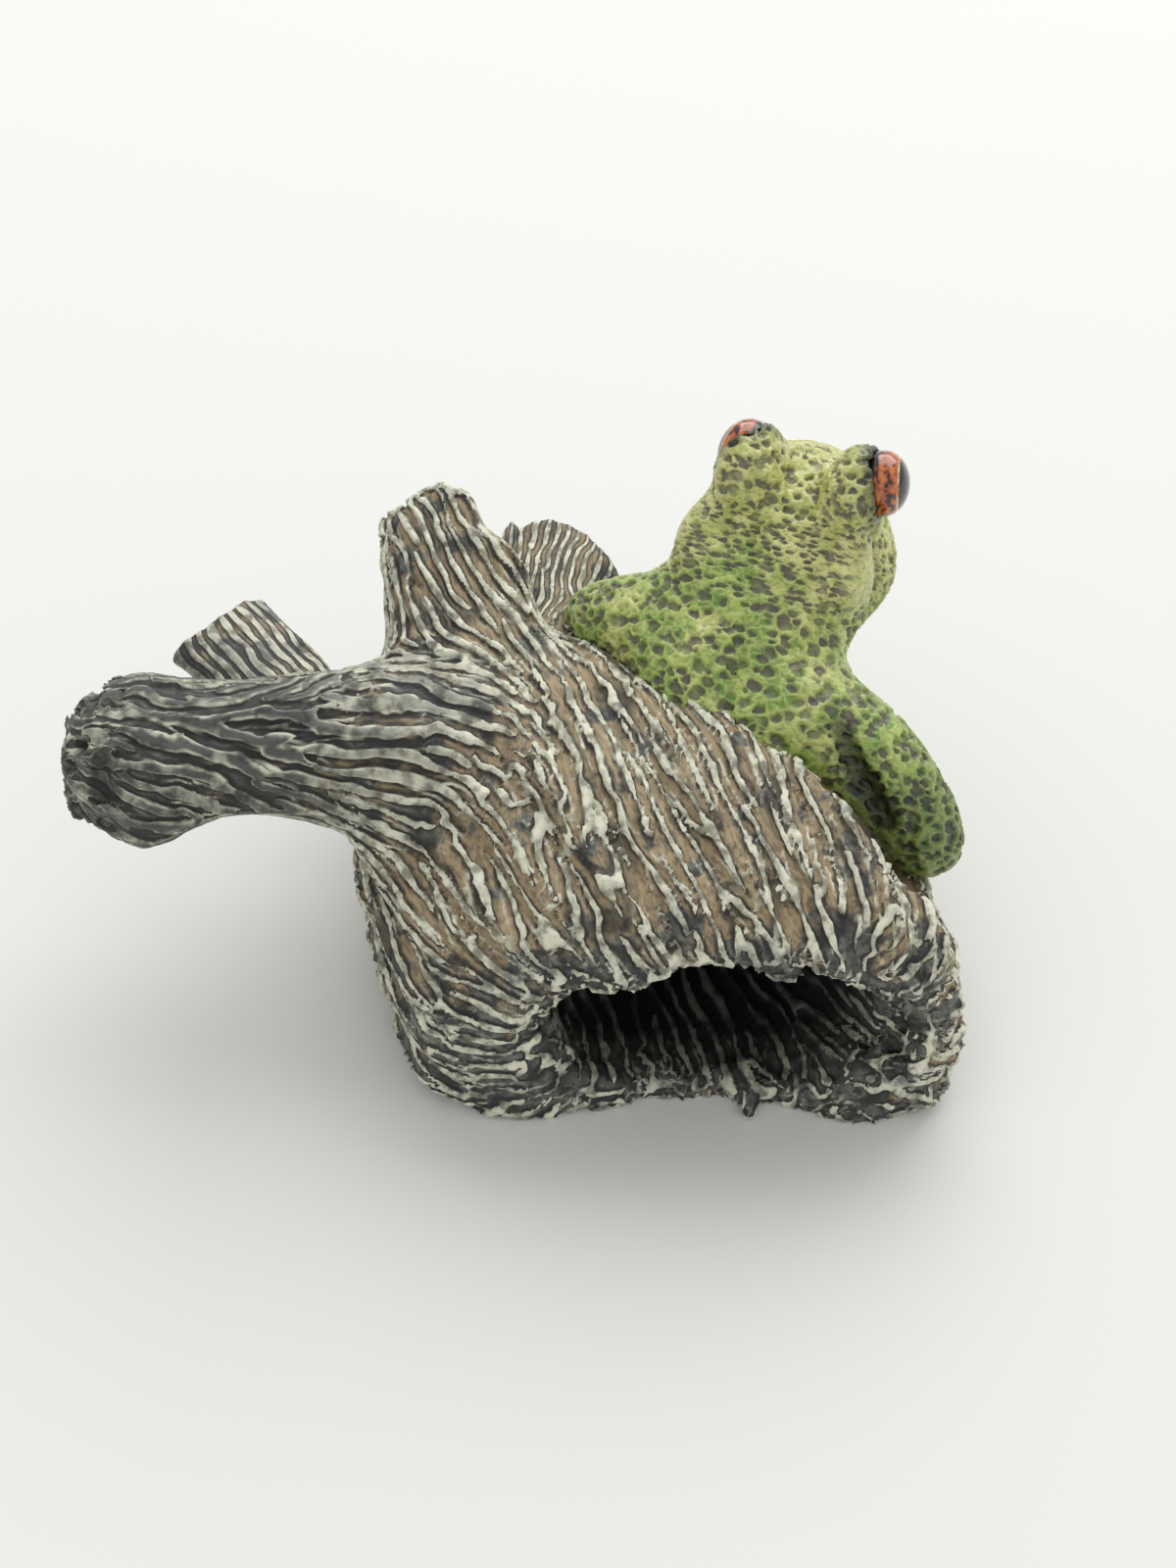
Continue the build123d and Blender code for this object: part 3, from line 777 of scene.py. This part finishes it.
def ridge_waves(p, normals, way_of, share, cell, seed):
    """Wave whose crests run along the grain, as a cosine and a sine.

    Each cell of a lattice holds a short train of waves at a random place and phase, square to the grain
    there and fading from its middle. Their sum has crests that fork and join.
    """
    base = np.floor(p / cell).astype(np.int64)
    offsets = np.array(list(np.ndindex(3, 3, 3))) - 1
    keys = (base[:, None] + offsets[None]).reshape(-1, 3)
    packed = (keys[:, 0] + 500) * 1000000 + (keys[:, 1] + 500) * 1000 + keys[:, 2] + 500
    first, back = np.unique(packed, return_index=True, return_inverse=True)[1:]
    cells = keys[first]
    places = (cells + np.column_stack([lattice(cells, seed + k) for k in range(3)])) * cell
    ways, spacings = way_of(places)
    phases = lattice(cells, seed + 3)
    back = back.reshape(len(p), len(offsets))
    total = np.zeros(len(p), complex)
    for k in range(len(offsets)):
        which = back[:, k]
        way = ways[which]
        across = np.cross(normals, way)
        across /= np.linalg.norm(across, axis=1)[:, None] + 1e-6
        d = p - places[which]
        along = np.einsum("ij,ij->i", d, way)
        aside = np.einsum("ij,ij->i", d, d) - along**2
        weight = np.exp(-((along / (TRAIN_LENGTH * cell)) ** 2) - aside / (TRAIN_WIDTH * cell) ** 2)
        turns = np.einsum("ij,ij->i", d, across) / (share * spacings[which]) + phases[which]
        total += weight * np.exp(2j * math.pi * turns)
    total /= np.abs(total) + 1e-12
    return np.column_stack([total.real, total.imag, np.zeros(len(p))])


def wood_fields(p, normals):
    """Ridge waves, grain places, and tone: how slate, how dark and how broad the wood is there; the darkness
    is painted shade, deeper into the hollow and in the pits of the limb's end.
    """
    weights = wood_shares(p)
    left, rear, twig, flap = weights.T[1:]
    grains = [log_grain(p)] + [limb_grain(p, rows, *grain) for rows, grain in zip(LIMBS, LIMB_GRAINS)]
    grain = sum(weights[:, k, None] * grains[k] for k in range(5))
    x, y, z = p.T
    hollow = hollow_depth(p)
    wall = np.clip(1.2 - hollow / 2.5, 0, 1)
    # Painted shade: the hollow's walls darken the deeper they lie, and the pits in the limb's end darken too
    inside = wall * ramp(y, -43.0, -28.0)
    pitted = ramp(x, LIMB_RAGGED, LIMB_RAGGED - 4.0) * end_pits(p)
    # Slate wash lies on limbs, more so far out, round the mouth, low down and at the log's left foot
    limb = left * (0.36 + 0.24 * ramp(x, -58.0, -76.0)) + 0.1 * rear + 0.3 * twig + 0.1 * flap
    foot = ramp(x, -26.0, -40.0) * ramp(z, 34.0, 22.0)
    knob = ramp(x, LIMB_RAGGED + 6.0, LIMB_RAGGED - 4.0)
    slate = 0.12 + limb + 0.4 * bell(y - (MOUTH - 2.0), 6.0) + 0.45 * knob
    slate = np.clip(slate + 0.35 * ramp(z, 20.0, -10.0) + 0.35 * foot + 0.7 * wall, 0, 1)
    broad = left + 0.25 * rear + 0.8 * twig + 0.5 * flap
    ridges = ridge_waves(p, normals, wood_way, 1.0, RIDGE_CELL, 51)
    furrows = ridge_waves(p, normals, wood_way, FURROW_SHARE, FURROW_CELL, 61)
    even = np.zeros(len(p))
    for weight, rows, across in ((twig, TWIG, TWIG_STRANDS), (flap, FLAP, FLAP_STRANDS)):
        share = np.clip(2.0 * weight - 0.5, 0, 1)
        even = even + share
        share = share[:, None]
        ridges = ridges * (1 - share) + strands(p, rows, *across) * share
        furrows = furrows * (1 - share) - share * (1, 0, 0)
    # A web of crests lies round the mouth, where a noise goes through zero
    lip = bell(hollow - 1.6, 2.0) * bell(y - MOUTH, 4.0)
    lip = np.clip(1.7 * lip - 0.3, 0, 1)[:, None]
    ridges = ridges * (1 - lip) + wave(1.1 * lumps(p, 3.0, 71)) * lip
    ridges[:, 2] = np.maximum(even, 1.6 * ramp(x, LIMB_RAGGED + 1.0, LIMB_RAGGED - 5.0))
    return {
        "ridges": ridges,
        "furrows": furrows,
        "grain": grain,
        "tone": np.column_stack([slate, np.maximum(inside, 0.9 * pitted), broad]),
    }


def frog_fields(p, normals):
    """Skin cells, wider across the neck than along it, and tone: how yellow, how dark and how smooth it is.
    The darkness is painted shade in the armpit and along the jaw and back creases, with darker tone on the
    outer arm, in random patches and round the eyes.

    The normals, which wood needs, play no part.
    """
    x, z = p[:, 0], p[:, 2]
    along = p @ BACK_WAY
    head = ramp(along, 58.0, 74.0)
    across = p - along[:, None] * BACK_WAY
    cells = (across * 0.78 + along[:, None] * BACK_WAY) / (2.0 - 0.35 * head[:, None])
    ear = lids = 0.0
    for side, ring in ((-1, 0.8), (1, 1.6)):
        drum = head_place(side * EAR_SPACING * 0.56, EAR_CENTRE)
        ear = ear + bell(np.linalg.norm(p - drum, axis=1), 5.8)
        lids = lids + bell(np.maximum(eye_depth(p, side, 0.4), 0), ring)
    # Painted shade in the armpit and along the jaw and back creases; the outer arm, random patches and the
    # rims round the eyes are darker as well
    arm = ramp(x, 27.0, 33.0) * ramp(z, 54.0, 46.0)
    pit = bell(np.maximum(tube_near(p, ARMPIT, 8), 0), 1.0)
    fold = bell(from_line(p, JAW_CREASE), 1.3) + 0.5 * bell(from_line(p, BACK_LINE), 0.9)
    patchy = 0.25 * lumps(p, 11.0, 31) + 0.2 * lumps(p, 5.0, 32)
    yellow = np.clip(0.32 + 0.9 * ear + 0.36 * head - 0.3 * arm + patchy, 0, 1)
    shade_and_dark_paint = np.clip(0.42 * arm + 0.12 * lumps(p, 7.0, 33) + 0.75 * pit + 0.4 * fold + lids, 0, 1)
    smooth = np.clip(1.6 * ear, 0, 1)
    return {"grain": cells, "tone": np.column_stack([yellow, shade_and_dark_paint, smooth])}


class Recipe:
    """Short way to add and wire the nodes of one finish or one carving."""

    def __init__(self, tree):
        self.tree = tree

    def node(self, kind, links=None, **settings):
        node = self.tree.nodes.new(kind)
        for key, value in settings.items():
            setattr(node, key, value)
        for socket, value in (links or {}).items():
            if isinstance(value, bpy.types.NodeSocket):
                self.tree.links.new(value, node.inputs[socket])
            else:
                node.inputs[socket].default_value = value
        return node

    def math(self, operation, a, b=0.0, c=0.0):
        return self.node("ShaderNodeMath", {0: a, 1: b, 2: c}, operation=operation).outputs[0]

    def add(self, a, b):
        return self.math("ADD", a, b)

    def times(self, a, b):
        return self.math("MULTIPLY", a, b)

    def minus(self, a, b):
        return self.math("SUBTRACT", a, b)

    def vector(self, operation, a, b=(0.0, 0.0, 0.0)):
        return self.node("ShaderNodeVectorMath", {0: a, 1: b}, operation=operation).outputs[0]

    def split(self, vector):
        return self.node("ShaderNodeSeparateXYZ", {0: vector}).outputs

    def step(self, value, low, high, start=0.0, end=1.0):
        """Smooth step from start to end while the value goes from low to high."""
        links = {"Value": value, "From Min": low, "From Max": high, "To Min": start, "To Max": end}
        return self.node("ShaderNodeMapRange", links, interpolation_type="SMOOTHSTEP").outputs[0]

    def noise(self, place, scale, detail=2.0, output=0):
        links = {"Vector": place, "Scale": scale, "Detail": detail}
        return self.node("ShaderNodeTexNoise", links).outputs[output]

    def cells(self, place, feature, scale=1.0, jitter=1.0, output="Distance"):
        links = {"Vector": place, "Scale": scale, "Randomness": jitter}
        return self.node("ShaderNodeTexVoronoi", links, feature=feature).outputs[output]

    def wander(self, place, scale, amount):
        """The place moved about by noise."""
        drift = self.vector("SUBTRACT", self.noise(place, scale, 2.0, 1), (0.5, 0.5, 0.5))
        return self.vector("ADD", place, self.vector("MULTIPLY", drift, amount))

    def field(self, name):
        """A vector that each point of the mesh carries."""
        if self.tree.type == "GEOMETRY":
            kind = "GeometryNodeInputNamedAttribute"
            return self.node(kind, {"Name": name}, data_type="FLOAT_VECTOR").outputs[0]
        return self.node("ShaderNodeAttribute", attribute_name=name).outputs["Vector"]

    def place(self):
        """Where each point is on its object, in metres."""
        if self.tree.type == "GEOMETRY":
            return self.node("GeometryNodeInputPosition").outputs[0]
        return self.node("ShaderNodeTexCoord").outputs["Object"]

    def from_crest(self, name, drift):
        """Distance from a wave field's nearest crest, 0 on it and 0.5 between two, moved by some drift."""
        pair = self.split(self.field(name))
        turns = self.math("MULTIPLY_ADD", self.math("ARCTAN2", pair[1], pair[0]), 0.5 / math.pi, drift)
        return self.math("ABSOLUTE", self.minus(turns, self.math("ROUND", turns)))

    def blend(self, share, a, b):
        """Colour a where the share is 0, b where it is 1, each a node's or a given colour."""
        a, b = (colour(*c) if isinstance(c, tuple) else c for c in (a, b))
        return self.node("ShaderNodeMix", {0: share, 6: a, 7: b}, data_type="RGBA").outputs[2]


def colour(red, green, blue):
    """A colour given on a 0 to 255 scale, as linear light."""
    share = np.array([red, green, blue]) / 255
    return (*np.where(share <= 0.04045, share / 12.92, ((share + 0.055) / 1.055) ** 2.4), 1.0)


def bark_relief(r):
    """Crests along the grain, of uneven width, with finer crests and fibres between them."""
    grain = r.field("grain")
    place = r.place()
    bend = r.math("MULTIPLY_ADD", r.noise(place, 160.0, 2.0), 0.6, -0.3)
    edge = r.from_crest("ridges", bend)
    broad = r.split(r.field("tone"))[2]
    width = r.add(r.step(r.noise(place, 150.0, 1.0), 0.34, 0.66, 0.13, 0.26), r.times(broad, 0.15))
    ridge = r.step(edge, r.times(width, 0.45), width, 1.0, 0.0)
    thin = r.step(r.from_crest("furrows", bend), 0.05, 0.17, 1.0, 0.0)
    thin = r.times(thin, r.step(r.noise(place, 95.0, 1.0), 0.4, 0.58))
    fibre = r.noise(r.vector("MULTIPLY", grain, (7.0, 7.0, 9.0)), 1.0, 3.0)
    swell = r.noise(r.vector("MULTIPLY", grain, (0.55, 0.55, 1.6)), 1.0, 1.0)
    return edge, width, ridge, thin, fibre, swell


def skin_relief(r):
    """Net of raised skin round shallow pits: the pits are where the distance to a cell's point is small."""
    grain = r.field("grain")
    place = r.wander(grain, 0.9, (0.7, 0.7, 0.7))
    far = r.cells(place, "F1", 1.0, 0.85)
    size = r.step(r.noise(grain, 0.7), 0.3, 0.7, 0.34, 0.66)
    pit = r.step(far, r.times(size, 0.78), size, 1.0, 0.0)
    net = r.step(r.cells(place, "DISTANCE_TO_EDGE", 1.0, 0.85), 0.0, 0.16, 1.0, 0.0)
    wrinkle = r.noise(r.vector("MULTIPLY", place, (2.4, 2.4, 2.4)), 1.0, 3.0)
    return pit, net, wrinkle


def new_carving(name, height):
    """Node group that moves each point along its normal by a height in millimetres that a recipe gives."""
    tree = bpy.data.node_groups.new(name, "GeometryNodeTree")
    tree.interface.new_socket("Geometry", in_out="INPUT", socket_type="NodeSocketGeometry")
    tree.interface.new_socket("Geometry", in_out="OUTPUT", socket_type="NodeSocketGeometry")
    r = Recipe(tree)
    start, end = r.node("NodeGroupInput"), r.node("NodeGroupOutput")
    normal = r.node("GeometryNodeInputNormal").outputs[0]
    links = {0: normal, "Scale": r.times(height(r), METRES)}
    move = r.node("ShaderNodeVectorMath", links, operation="SCALE").outputs[0]
    moved = r.node("GeometryNodeSetPosition", {"Geometry": start.outputs[0], "Offset": move})
    tree.links.new(moved.outputs[0], end.inputs[0])
    return tree


def bark_height(r):
    """Bark in millimetres: crests raised by a swell, thin crests and fibres between them, and slow folds.

    Folds are larger where the wood is broad; crests are lower on flat torn pieces and the limb's end.
    """
    ridge, thin, fibre, swell = bark_relief(r)[2:]
    broad = r.split(r.field("tone"))[2]
    even = r.split(r.field("ridges"))[2]
    main = r.times(r.times(ridge, r.step(even, 0.0, 1.6, 1.0, 0.1)), r.add(r.times(swell, 0.9), 0.7))
    between = r.times(r.minus(1.0, ridge), r.add(r.times(thin, 0.5), r.times(fibre, 0.5)))
    fold = r.times(r.minus(swell, 0.5), r.step(broad, 0.0, 1.0, 1.4, 3.0))
    fold = r.times(fold, r.step(even, 0.0, 1.0, 1.0, 0.3))
    return r.add(r.minus(r.add(main, between), 0.6), fold)


def skin_height(r):
    """Frog skin in millimetres: pits sunk, net and wrinkles raised, all less where it is smooth."""
    pit, net, wrinkle = skin_relief(r)
    rough = r.step(r.split(r.field("tone"))[2], 0.0, 1.0, 1.0, 0.15)
    raised = r.add(r.times(net, 0.14), r.times(r.minus(wrinkle, 0.4), 0.4))
    return r.times(rough, r.add(r.times(pit, -0.62), raised))


# Height of the fine bump in paint and in enamel, in metres
PAINT_BUMP = 0.0003
ENAMEL_BUMP = 0.00004
BUMP_STRENGTH = 0.6


def new_material(name, roughness):
    """A material and its shader."""
    material = bpy.data.materials.new(name)
    material.use_nodes = True
    shader = material.node_tree.nodes["Principled BSDF"]
    shader.inputs["Roughness"].default_value = roughness
    return material, shader


def new_finish(name, roughness):
    """An empty material, its recipe and shader, and the tones that the pieces carry."""
    material, shader = new_material(name, roughness)
    r = Recipe(material.node_tree)
    return material, r, shader, r.split(r.field("tone"))


def finish_colour(r, shader, base, height, distance):
    """Puts a colour and a fine bump on a shader."""
    r.tree.links.new(base, shader.inputs["Base Color"])
    links = {"Height": height, "Distance": distance, "Strength": BUMP_STRENGTH}
    r.tree.links.new(r.node("ShaderNodeBump", links).outputs[0], shader.inputs["Normal"])


def driftwood_finish():
    """Tan and slate wash in the furrows, black beside the ridges, and pale paint brushed on their tops.
    Painted shade darkens the bark's low folds, the hollow and the pits of the limb's end.
    """
    material, r, shader, (slate_share, painted_shade_share, broad_share) = new_finish("driftwood_paint", 0.62)
    edge, width, ridge, thin, fibre, swell = bark_relief(r)
    place = r.place()
    patch = r.noise(place, 170.0, 4.0)
    blotch = r.noise(place, 420.0, 4.0)
    tan = r.blend(r.noise(place, 300.0, 3.0), (136, 118, 90), (190, 170, 132))
    slate = r.blend(r.step(blotch, 0.35, 0.65), (62, 63, 62), (122, 122, 114))
    slate_here = r.step(r.add(patch, r.math("MULTIPLY_ADD", slate_share, 0.5, -0.17)), 0.46, 0.56)
    floor = r.blend(slate_here, tan, slate)
    shade = r.times(r.step(edge, width, r.times(width, 2.0), 1.0, 0.0), r.step(blotch, 0.3, 0.6, 0.55, 0.95))
    floor = r.blend(shade, floor, (28, 27, 26))
    floor = r.blend(r.times(r.step(fibre, 0.38, 0.55, 1.0, 0.0), 0.4), floor, (36, 34, 32))
    pale = r.blend(r.step(blotch, 0.4, 0.62), (186, 187, 166), (230, 230, 207))
    pale = r.blend(r.times(r.step(patch, 0.5, 0.64), slate_share), pale, (116, 118, 112))
    inner = r.times(r.times(r.step(edge, 0.1, 0.3, 1.0, 0.0), broad_share), r.step(slate_share, 0.3, 0.6))
    pale = r.blend(r.times(inner, r.step(patch, 0.34, 0.5, 0.5, 1.0)), pale, (82, 84, 80))
    worn = r.minus(1.0, r.times(r.step(blotch, 0.35, 0.5, 1.0, 0.0), 0.55))
    top = r.times(r.step(ridge, 0.25, 0.75), worn)
    base = r.blend(top, floor, pale)
    base = r.blend(r.times(thin, r.step(blotch, 0.36, 0.56, 0.3, 0.9)), base, pale)
    # Painted shade: darker where the slow swell, and so the bark's folds, lies low
    low = r.times(r.step(swell, 0.28, 0.46, 0.75, 0.0), r.minus(1.0, top))
    base = r.blend(low, base, (26, 25, 24))
    # Painted shade inside the hollow and in the limb end's pits, where the ridges stay a little lighter
    lit = r.times(ridge, r.step(patch, 0.42, 0.6, 0.15, 0.8))
    base = r.blend(painted_shade_share, base, r.blend(lit, (12, 12, 12), (112, 111, 103)))
    finish_colour(r, shader, base, r.add(blotch, r.times(fibre, 0.8)), PAINT_BUMP)
    return material


def frog_finish():
    """Green glaze with purple-grey wash in the pits, under a gloss coat; a painted highlight lightens the net,
    and painted shade darkens the wrinkles' low parts, the armpit and the creases.
    """
    material, r, shader, (yellow_share, shade_and_dark_share, smooth_share) = new_finish("frog_paint", 0.34)
    pit, net, wrinkle = skin_relief(r)
    place = r.place()
    blotch = r.noise(place, 260.0, 4.0)
    green = r.blend(r.step(blotch, 0.35, 0.65), (104, 146, 50), (164, 192, 88))
    lime = r.blend(r.step(blotch, 0.35, 0.65), (180, 186, 92), (220, 220, 146))
    base = r.blend(r.step(r.add(yellow_share, r.times(blotch, 0.4)), 0.35, 0.85), green, lime)
    # Painted highlight along the net's raised crests
    base = r.blend(r.times(net, 0.45), base, (214, 218, 140))
    # Painted shade where the wrinkles lie low
    base = r.blend(r.times(r.step(wrinkle, 0.36, 0.52, 1.0, 0.0), 0.45), base, (92, 98, 58))
    wash = r.blend(r.noise(place, 500.0, 2.0), (60, 56, 54), (134, 126, 108))
    # Painted shade in the armpit and creases, with darker tone on the outer arm, turns the pits' wash black
    # and darkens the skin
    wash = r.blend(r.times(shade_and_dark_share, 1.6), wash, (14, 13, 14))
    deep = r.times(pit, r.step(r.noise(r.field("grain"), 0.9), 0.35, 0.6, 0.55, 0.95))
    deep = r.times(deep, r.step(smooth_share, 0.3, 0.9, 1.0, 0.1))
    base = r.blend(deep, base, wash)
    base = r.blend(r.times(shade_and_dark_share, 0.9), base, (22, 24, 16))
    finish_colour(r, shader, base, r.add(wrinkle, r.times(blotch, 0.5)), PAINT_BUMP)
    shader.inputs["Coat Weight"].default_value = 0.3
    shader.inputs["Coat Roughness"].default_value = 0.22
    return material


def eye_finish():
    """Orange enamel with black flecks, a black pupil round the gaze with a painted highlight in cream round
    its edge, a dark rim at the lids, and gloss.
    """
    material, r, shader, tone = new_finish("eye_enamel", 0.12)
    turned, rim = tone[0], tone[1]
    fleck = r.noise(r.field("grain"), 4.0, 4.0)
    iris = r.blend(r.step(fleck, 0.36, 0.52), (206, 122, 58), (166, 74, 24))
    iris = r.blend(r.step(fleck, 0.52, 0.58), iris, (30, 18, 12))
    # Painted highlight: a cream ring round the pupil's edge
    painted_highlight = r.times(r.step(turned, 0.5, 0.55), r.step(fleck, 0.42, 0.5))
    iris = r.blend(painted_highlight, iris, (222, 200, 160))
    base = r.blend(r.step(turned, 0.58, 0.62), iris, (12, 12, 13))
    base = r.blend(r.step(rim, 0.16, 0.32), base, (22, 20, 18))
    finish_colour(r, shader, base, fleck, ENAMEL_BUMP)
    shader.inputs["Coat Weight"].default_value = 0.8
    shader.inputs["Coat Roughness"].default_value = 0.05
    return material


def add_piece(piece, node, material):
    """Rides a finished piece on the frame in place of its CAD node."""
    piece.data.materials.clear()
    piece.data.materials.append(material)
    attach(piece, "root")
    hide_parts(node)


def cast(name, depth, spacing, fields, carving, material, slot):
    """One casting: the skin of its depth inside its CAD node's box, with some room round it."""
    low, high = (np.array(corner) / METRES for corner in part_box(name))
    points, faces = net_surface(depth, low - BOX_MARGIN, high + BOX_MARGIN, spacing)
    points[:, 2] = np.maximum(points[:, 2], 0)
    normals = skin_normals(points, faces)
    add_piece(carve(name + "_skin", points, faces, fields(points, normals), carving), name, material)


driftwood, frog_paint, enamel = driftwood_finish(), frog_finish(), eye_finish()
bark_carving = new_carving("bark_carving", bark_height)
skin_carving = new_carving("skin_carving", skin_height)

# Tapered pieces: stations, joint's station, and how far from its line a piece reaches past the joint
WOOD_PARTS = {
    "left_limb": (LEFT_LIMB, 2, 6.0), "rear_limb": (REAR_LIMB, 1, 6.0),
    "side_twig": (TWIG, 1, 2.5), "bark_flap": (FLAP, 1, 6.0),
}
ARM_PARTS = {"frog_left_arm": (LEFT_ARM, 1, 6.0), "frog_right_arm": (RIGHT_ARM, 1, 6.0)}
# Pieces beside one, which are cut off it too
BESIDE = {"left_limb": ("side_twig",), "side_twig": ("rear_limb",), "bark_flap": ("rear_limb",)}


def seam(depth, past):
    """Depth cut off a little past a joint, where it sinks under the skin of the casting on the other side."""
    sink = ramp(past, SEAM_START, SEAM_OVERLAP)
    return np.maximum(depth + SEAM_SINK * sink * sink, past - SEAM_OVERLAP)


def without(depth, parts):
    """A casting with the tapered pieces that join it taken off at their joints."""
    def rest(p):
        d = depth(p)
        for part in parts:
            d = seam(d, -piece_region(p, *part))
        return d
    return rest


def only(depth, part, others=()):
    """One tapered piece of a casting, past its joint, less the pieces beside it."""
    rest = without(depth, others)
    return lambda p: seam(rest(p), piece_region(p, *part))


wood = (wood_fields, bark_carving, driftwood, "driftwood_paint")
cast("log_trunk", without(wood_depth, WOOD_PARTS.values()), LOG_SPACING, *wood)
for name, part in WOOD_PARTS.items():
    others = [WOOD_PARTS[other] for other in BESIDE.get(name, ())]
    cast(name, only(wood_depth, part, others), LIMB_SPACING, *wood)
frog = (frog_fields, skin_carving, frog_paint, "frog_paint")
cast("frog_body", without(frog_depth, ARM_PARTS.values()), FROG_SPACING, *frog)
for name, part in ARM_PARTS.items():
    cast(name, only(frog_depth, part), FROG_SPACING, *frog)


def eye(name, side):
    """An eyeball, flattened along its gaze: each direction is the gaze by a cosine plus a ring by a sine.

    Its tones are how far each direction lies towards the gaze and towards the head.
    """
    turns, rings = 64, 40
    gaze = eye_gaze(side)
    right = unit(np.cross(gaze, UP))
    top = np.cross(right, gaze)
    a = np.linspace(0, 2 * math.pi, turns, False)
    b = np.linspace(0, math.pi, rings + 1)[1:-1]
    a, b = np.meshgrid(a, b)
    ring = np.cos(a)[..., None] * right + np.sin(a)[..., None] * top
    way = (np.sin(b)[..., None] * ring + np.cos(b)[..., None] * gaze).reshape(-1, 3)
    way = np.vstack([way, gaze, -gaze])
    out = (way @ gaze)[:, None] * gaze
    points = head_place(side * EYE_SPACING / 2, EYE_CENTRE) + EYE_RADIUS * (way - out) + EYE_BULGE * out
    k = np.arange((rings - 2) * turns)
    after = k + 1 - turns * ((k + 1) % turns == 0)
    faces = np.column_stack([k, k + turns, after + turns, after]).tolist()
    first = np.arange(turns)
    second = np.roll(first, -1)
    last = (rings - 2) * turns
    faces += np.column_stack([np.full(turns, len(way) - 2), first, second]).tolist()
    faces += np.column_stack([np.full(turns, len(way) - 1), last + second, last + first]).tolist()
    inward = way @ -HEAD_RIGHT * side
    fields = {"grain": way, "tone": np.column_stack([way @ gaze, inward, np.zeros(len(way))])}
    add_piece(carve(name + "_ball", points, faces, fields), name, enamel)


eye("frog_left_eye", -1)
eye("frog_right_eye", 1)


# Floor, lamp, studio light and camera, in metres and degrees
FLOOR_REACH = 3.0
LAMP_PLACE = (0.45, 1.6, 1.9)
LAMP_TARGET = (0.0, 0.0, 0.03)
LAMP_POWER = 46.0
STUDIO_LIGHT = 0.67
CAMERA_PLACE = (-0.017, -0.297, 0.337)
CAMERA_TILT = 45.0
LENS = 54.15


def make_stage():
    """Plain pale floor under the object, far past its edges."""
    mesh = bpy.data.meshes.new("floor")
    far = FLOOR_REACH
    mesh.from_pydata([(-far, -far, 0), (far, -far, 0), (far, far, 0), (-far, far, 0)], [], [(0, 1, 2, 3)])
    floor = new_object("floor", mesh)
    material, shader = new_material("floor_paper", 0.9)
    shader.inputs["Base Color"].default_value = colour(236, 236, 233)
    shader.inputs["Specular IOR Level"].default_value = 0.0
    mesh.materials.append(material)


def add_lamp(name, place, target, wide, deep, power):
    """A soft lamp, wide from side to side, that faces a target."""
    lamp = bpy.data.lights.new(name, "AREA")
    lamp.shape = "RECTANGLE"
    lamp.size = wide
    lamp.size_y = deep
    lamp.energy = power
    holder = new_object(name, lamp)
    holder.location = place
    holder.rotation_euler = (Vector(target) - Vector(place)).to_track_quat("-Z", "Y").to_euler()


make_stage()
add_lamp("ceiling_lamp", LAMP_PLACE, LAMP_TARGET, 2.8, 2.4, LAMP_POWER)
world = bpy.data.worlds.new("studio")
world.use_nodes = True
world.node_tree.nodes["Background"].inputs["Color"].default_value = (1.0, 1.0, 1.0, 1.0)
world.node_tree.nodes["Background"].inputs["Strength"].default_value = STUDIO_LIGHT
bpy.context.scene.world = world

lens = bpy.data.cameras.new("camera")
lens.sensor_width = 36.0
lens.lens = LENS
camera = new_object("camera", lens)
camera.location = CAMERA_PLACE
camera.rotation_euler = (math.radians(CAMERA_TILT), 0, 0)
bpy.context.scene.camera = camera
bpy.context.scene.view_settings.view_transform = "Standard"
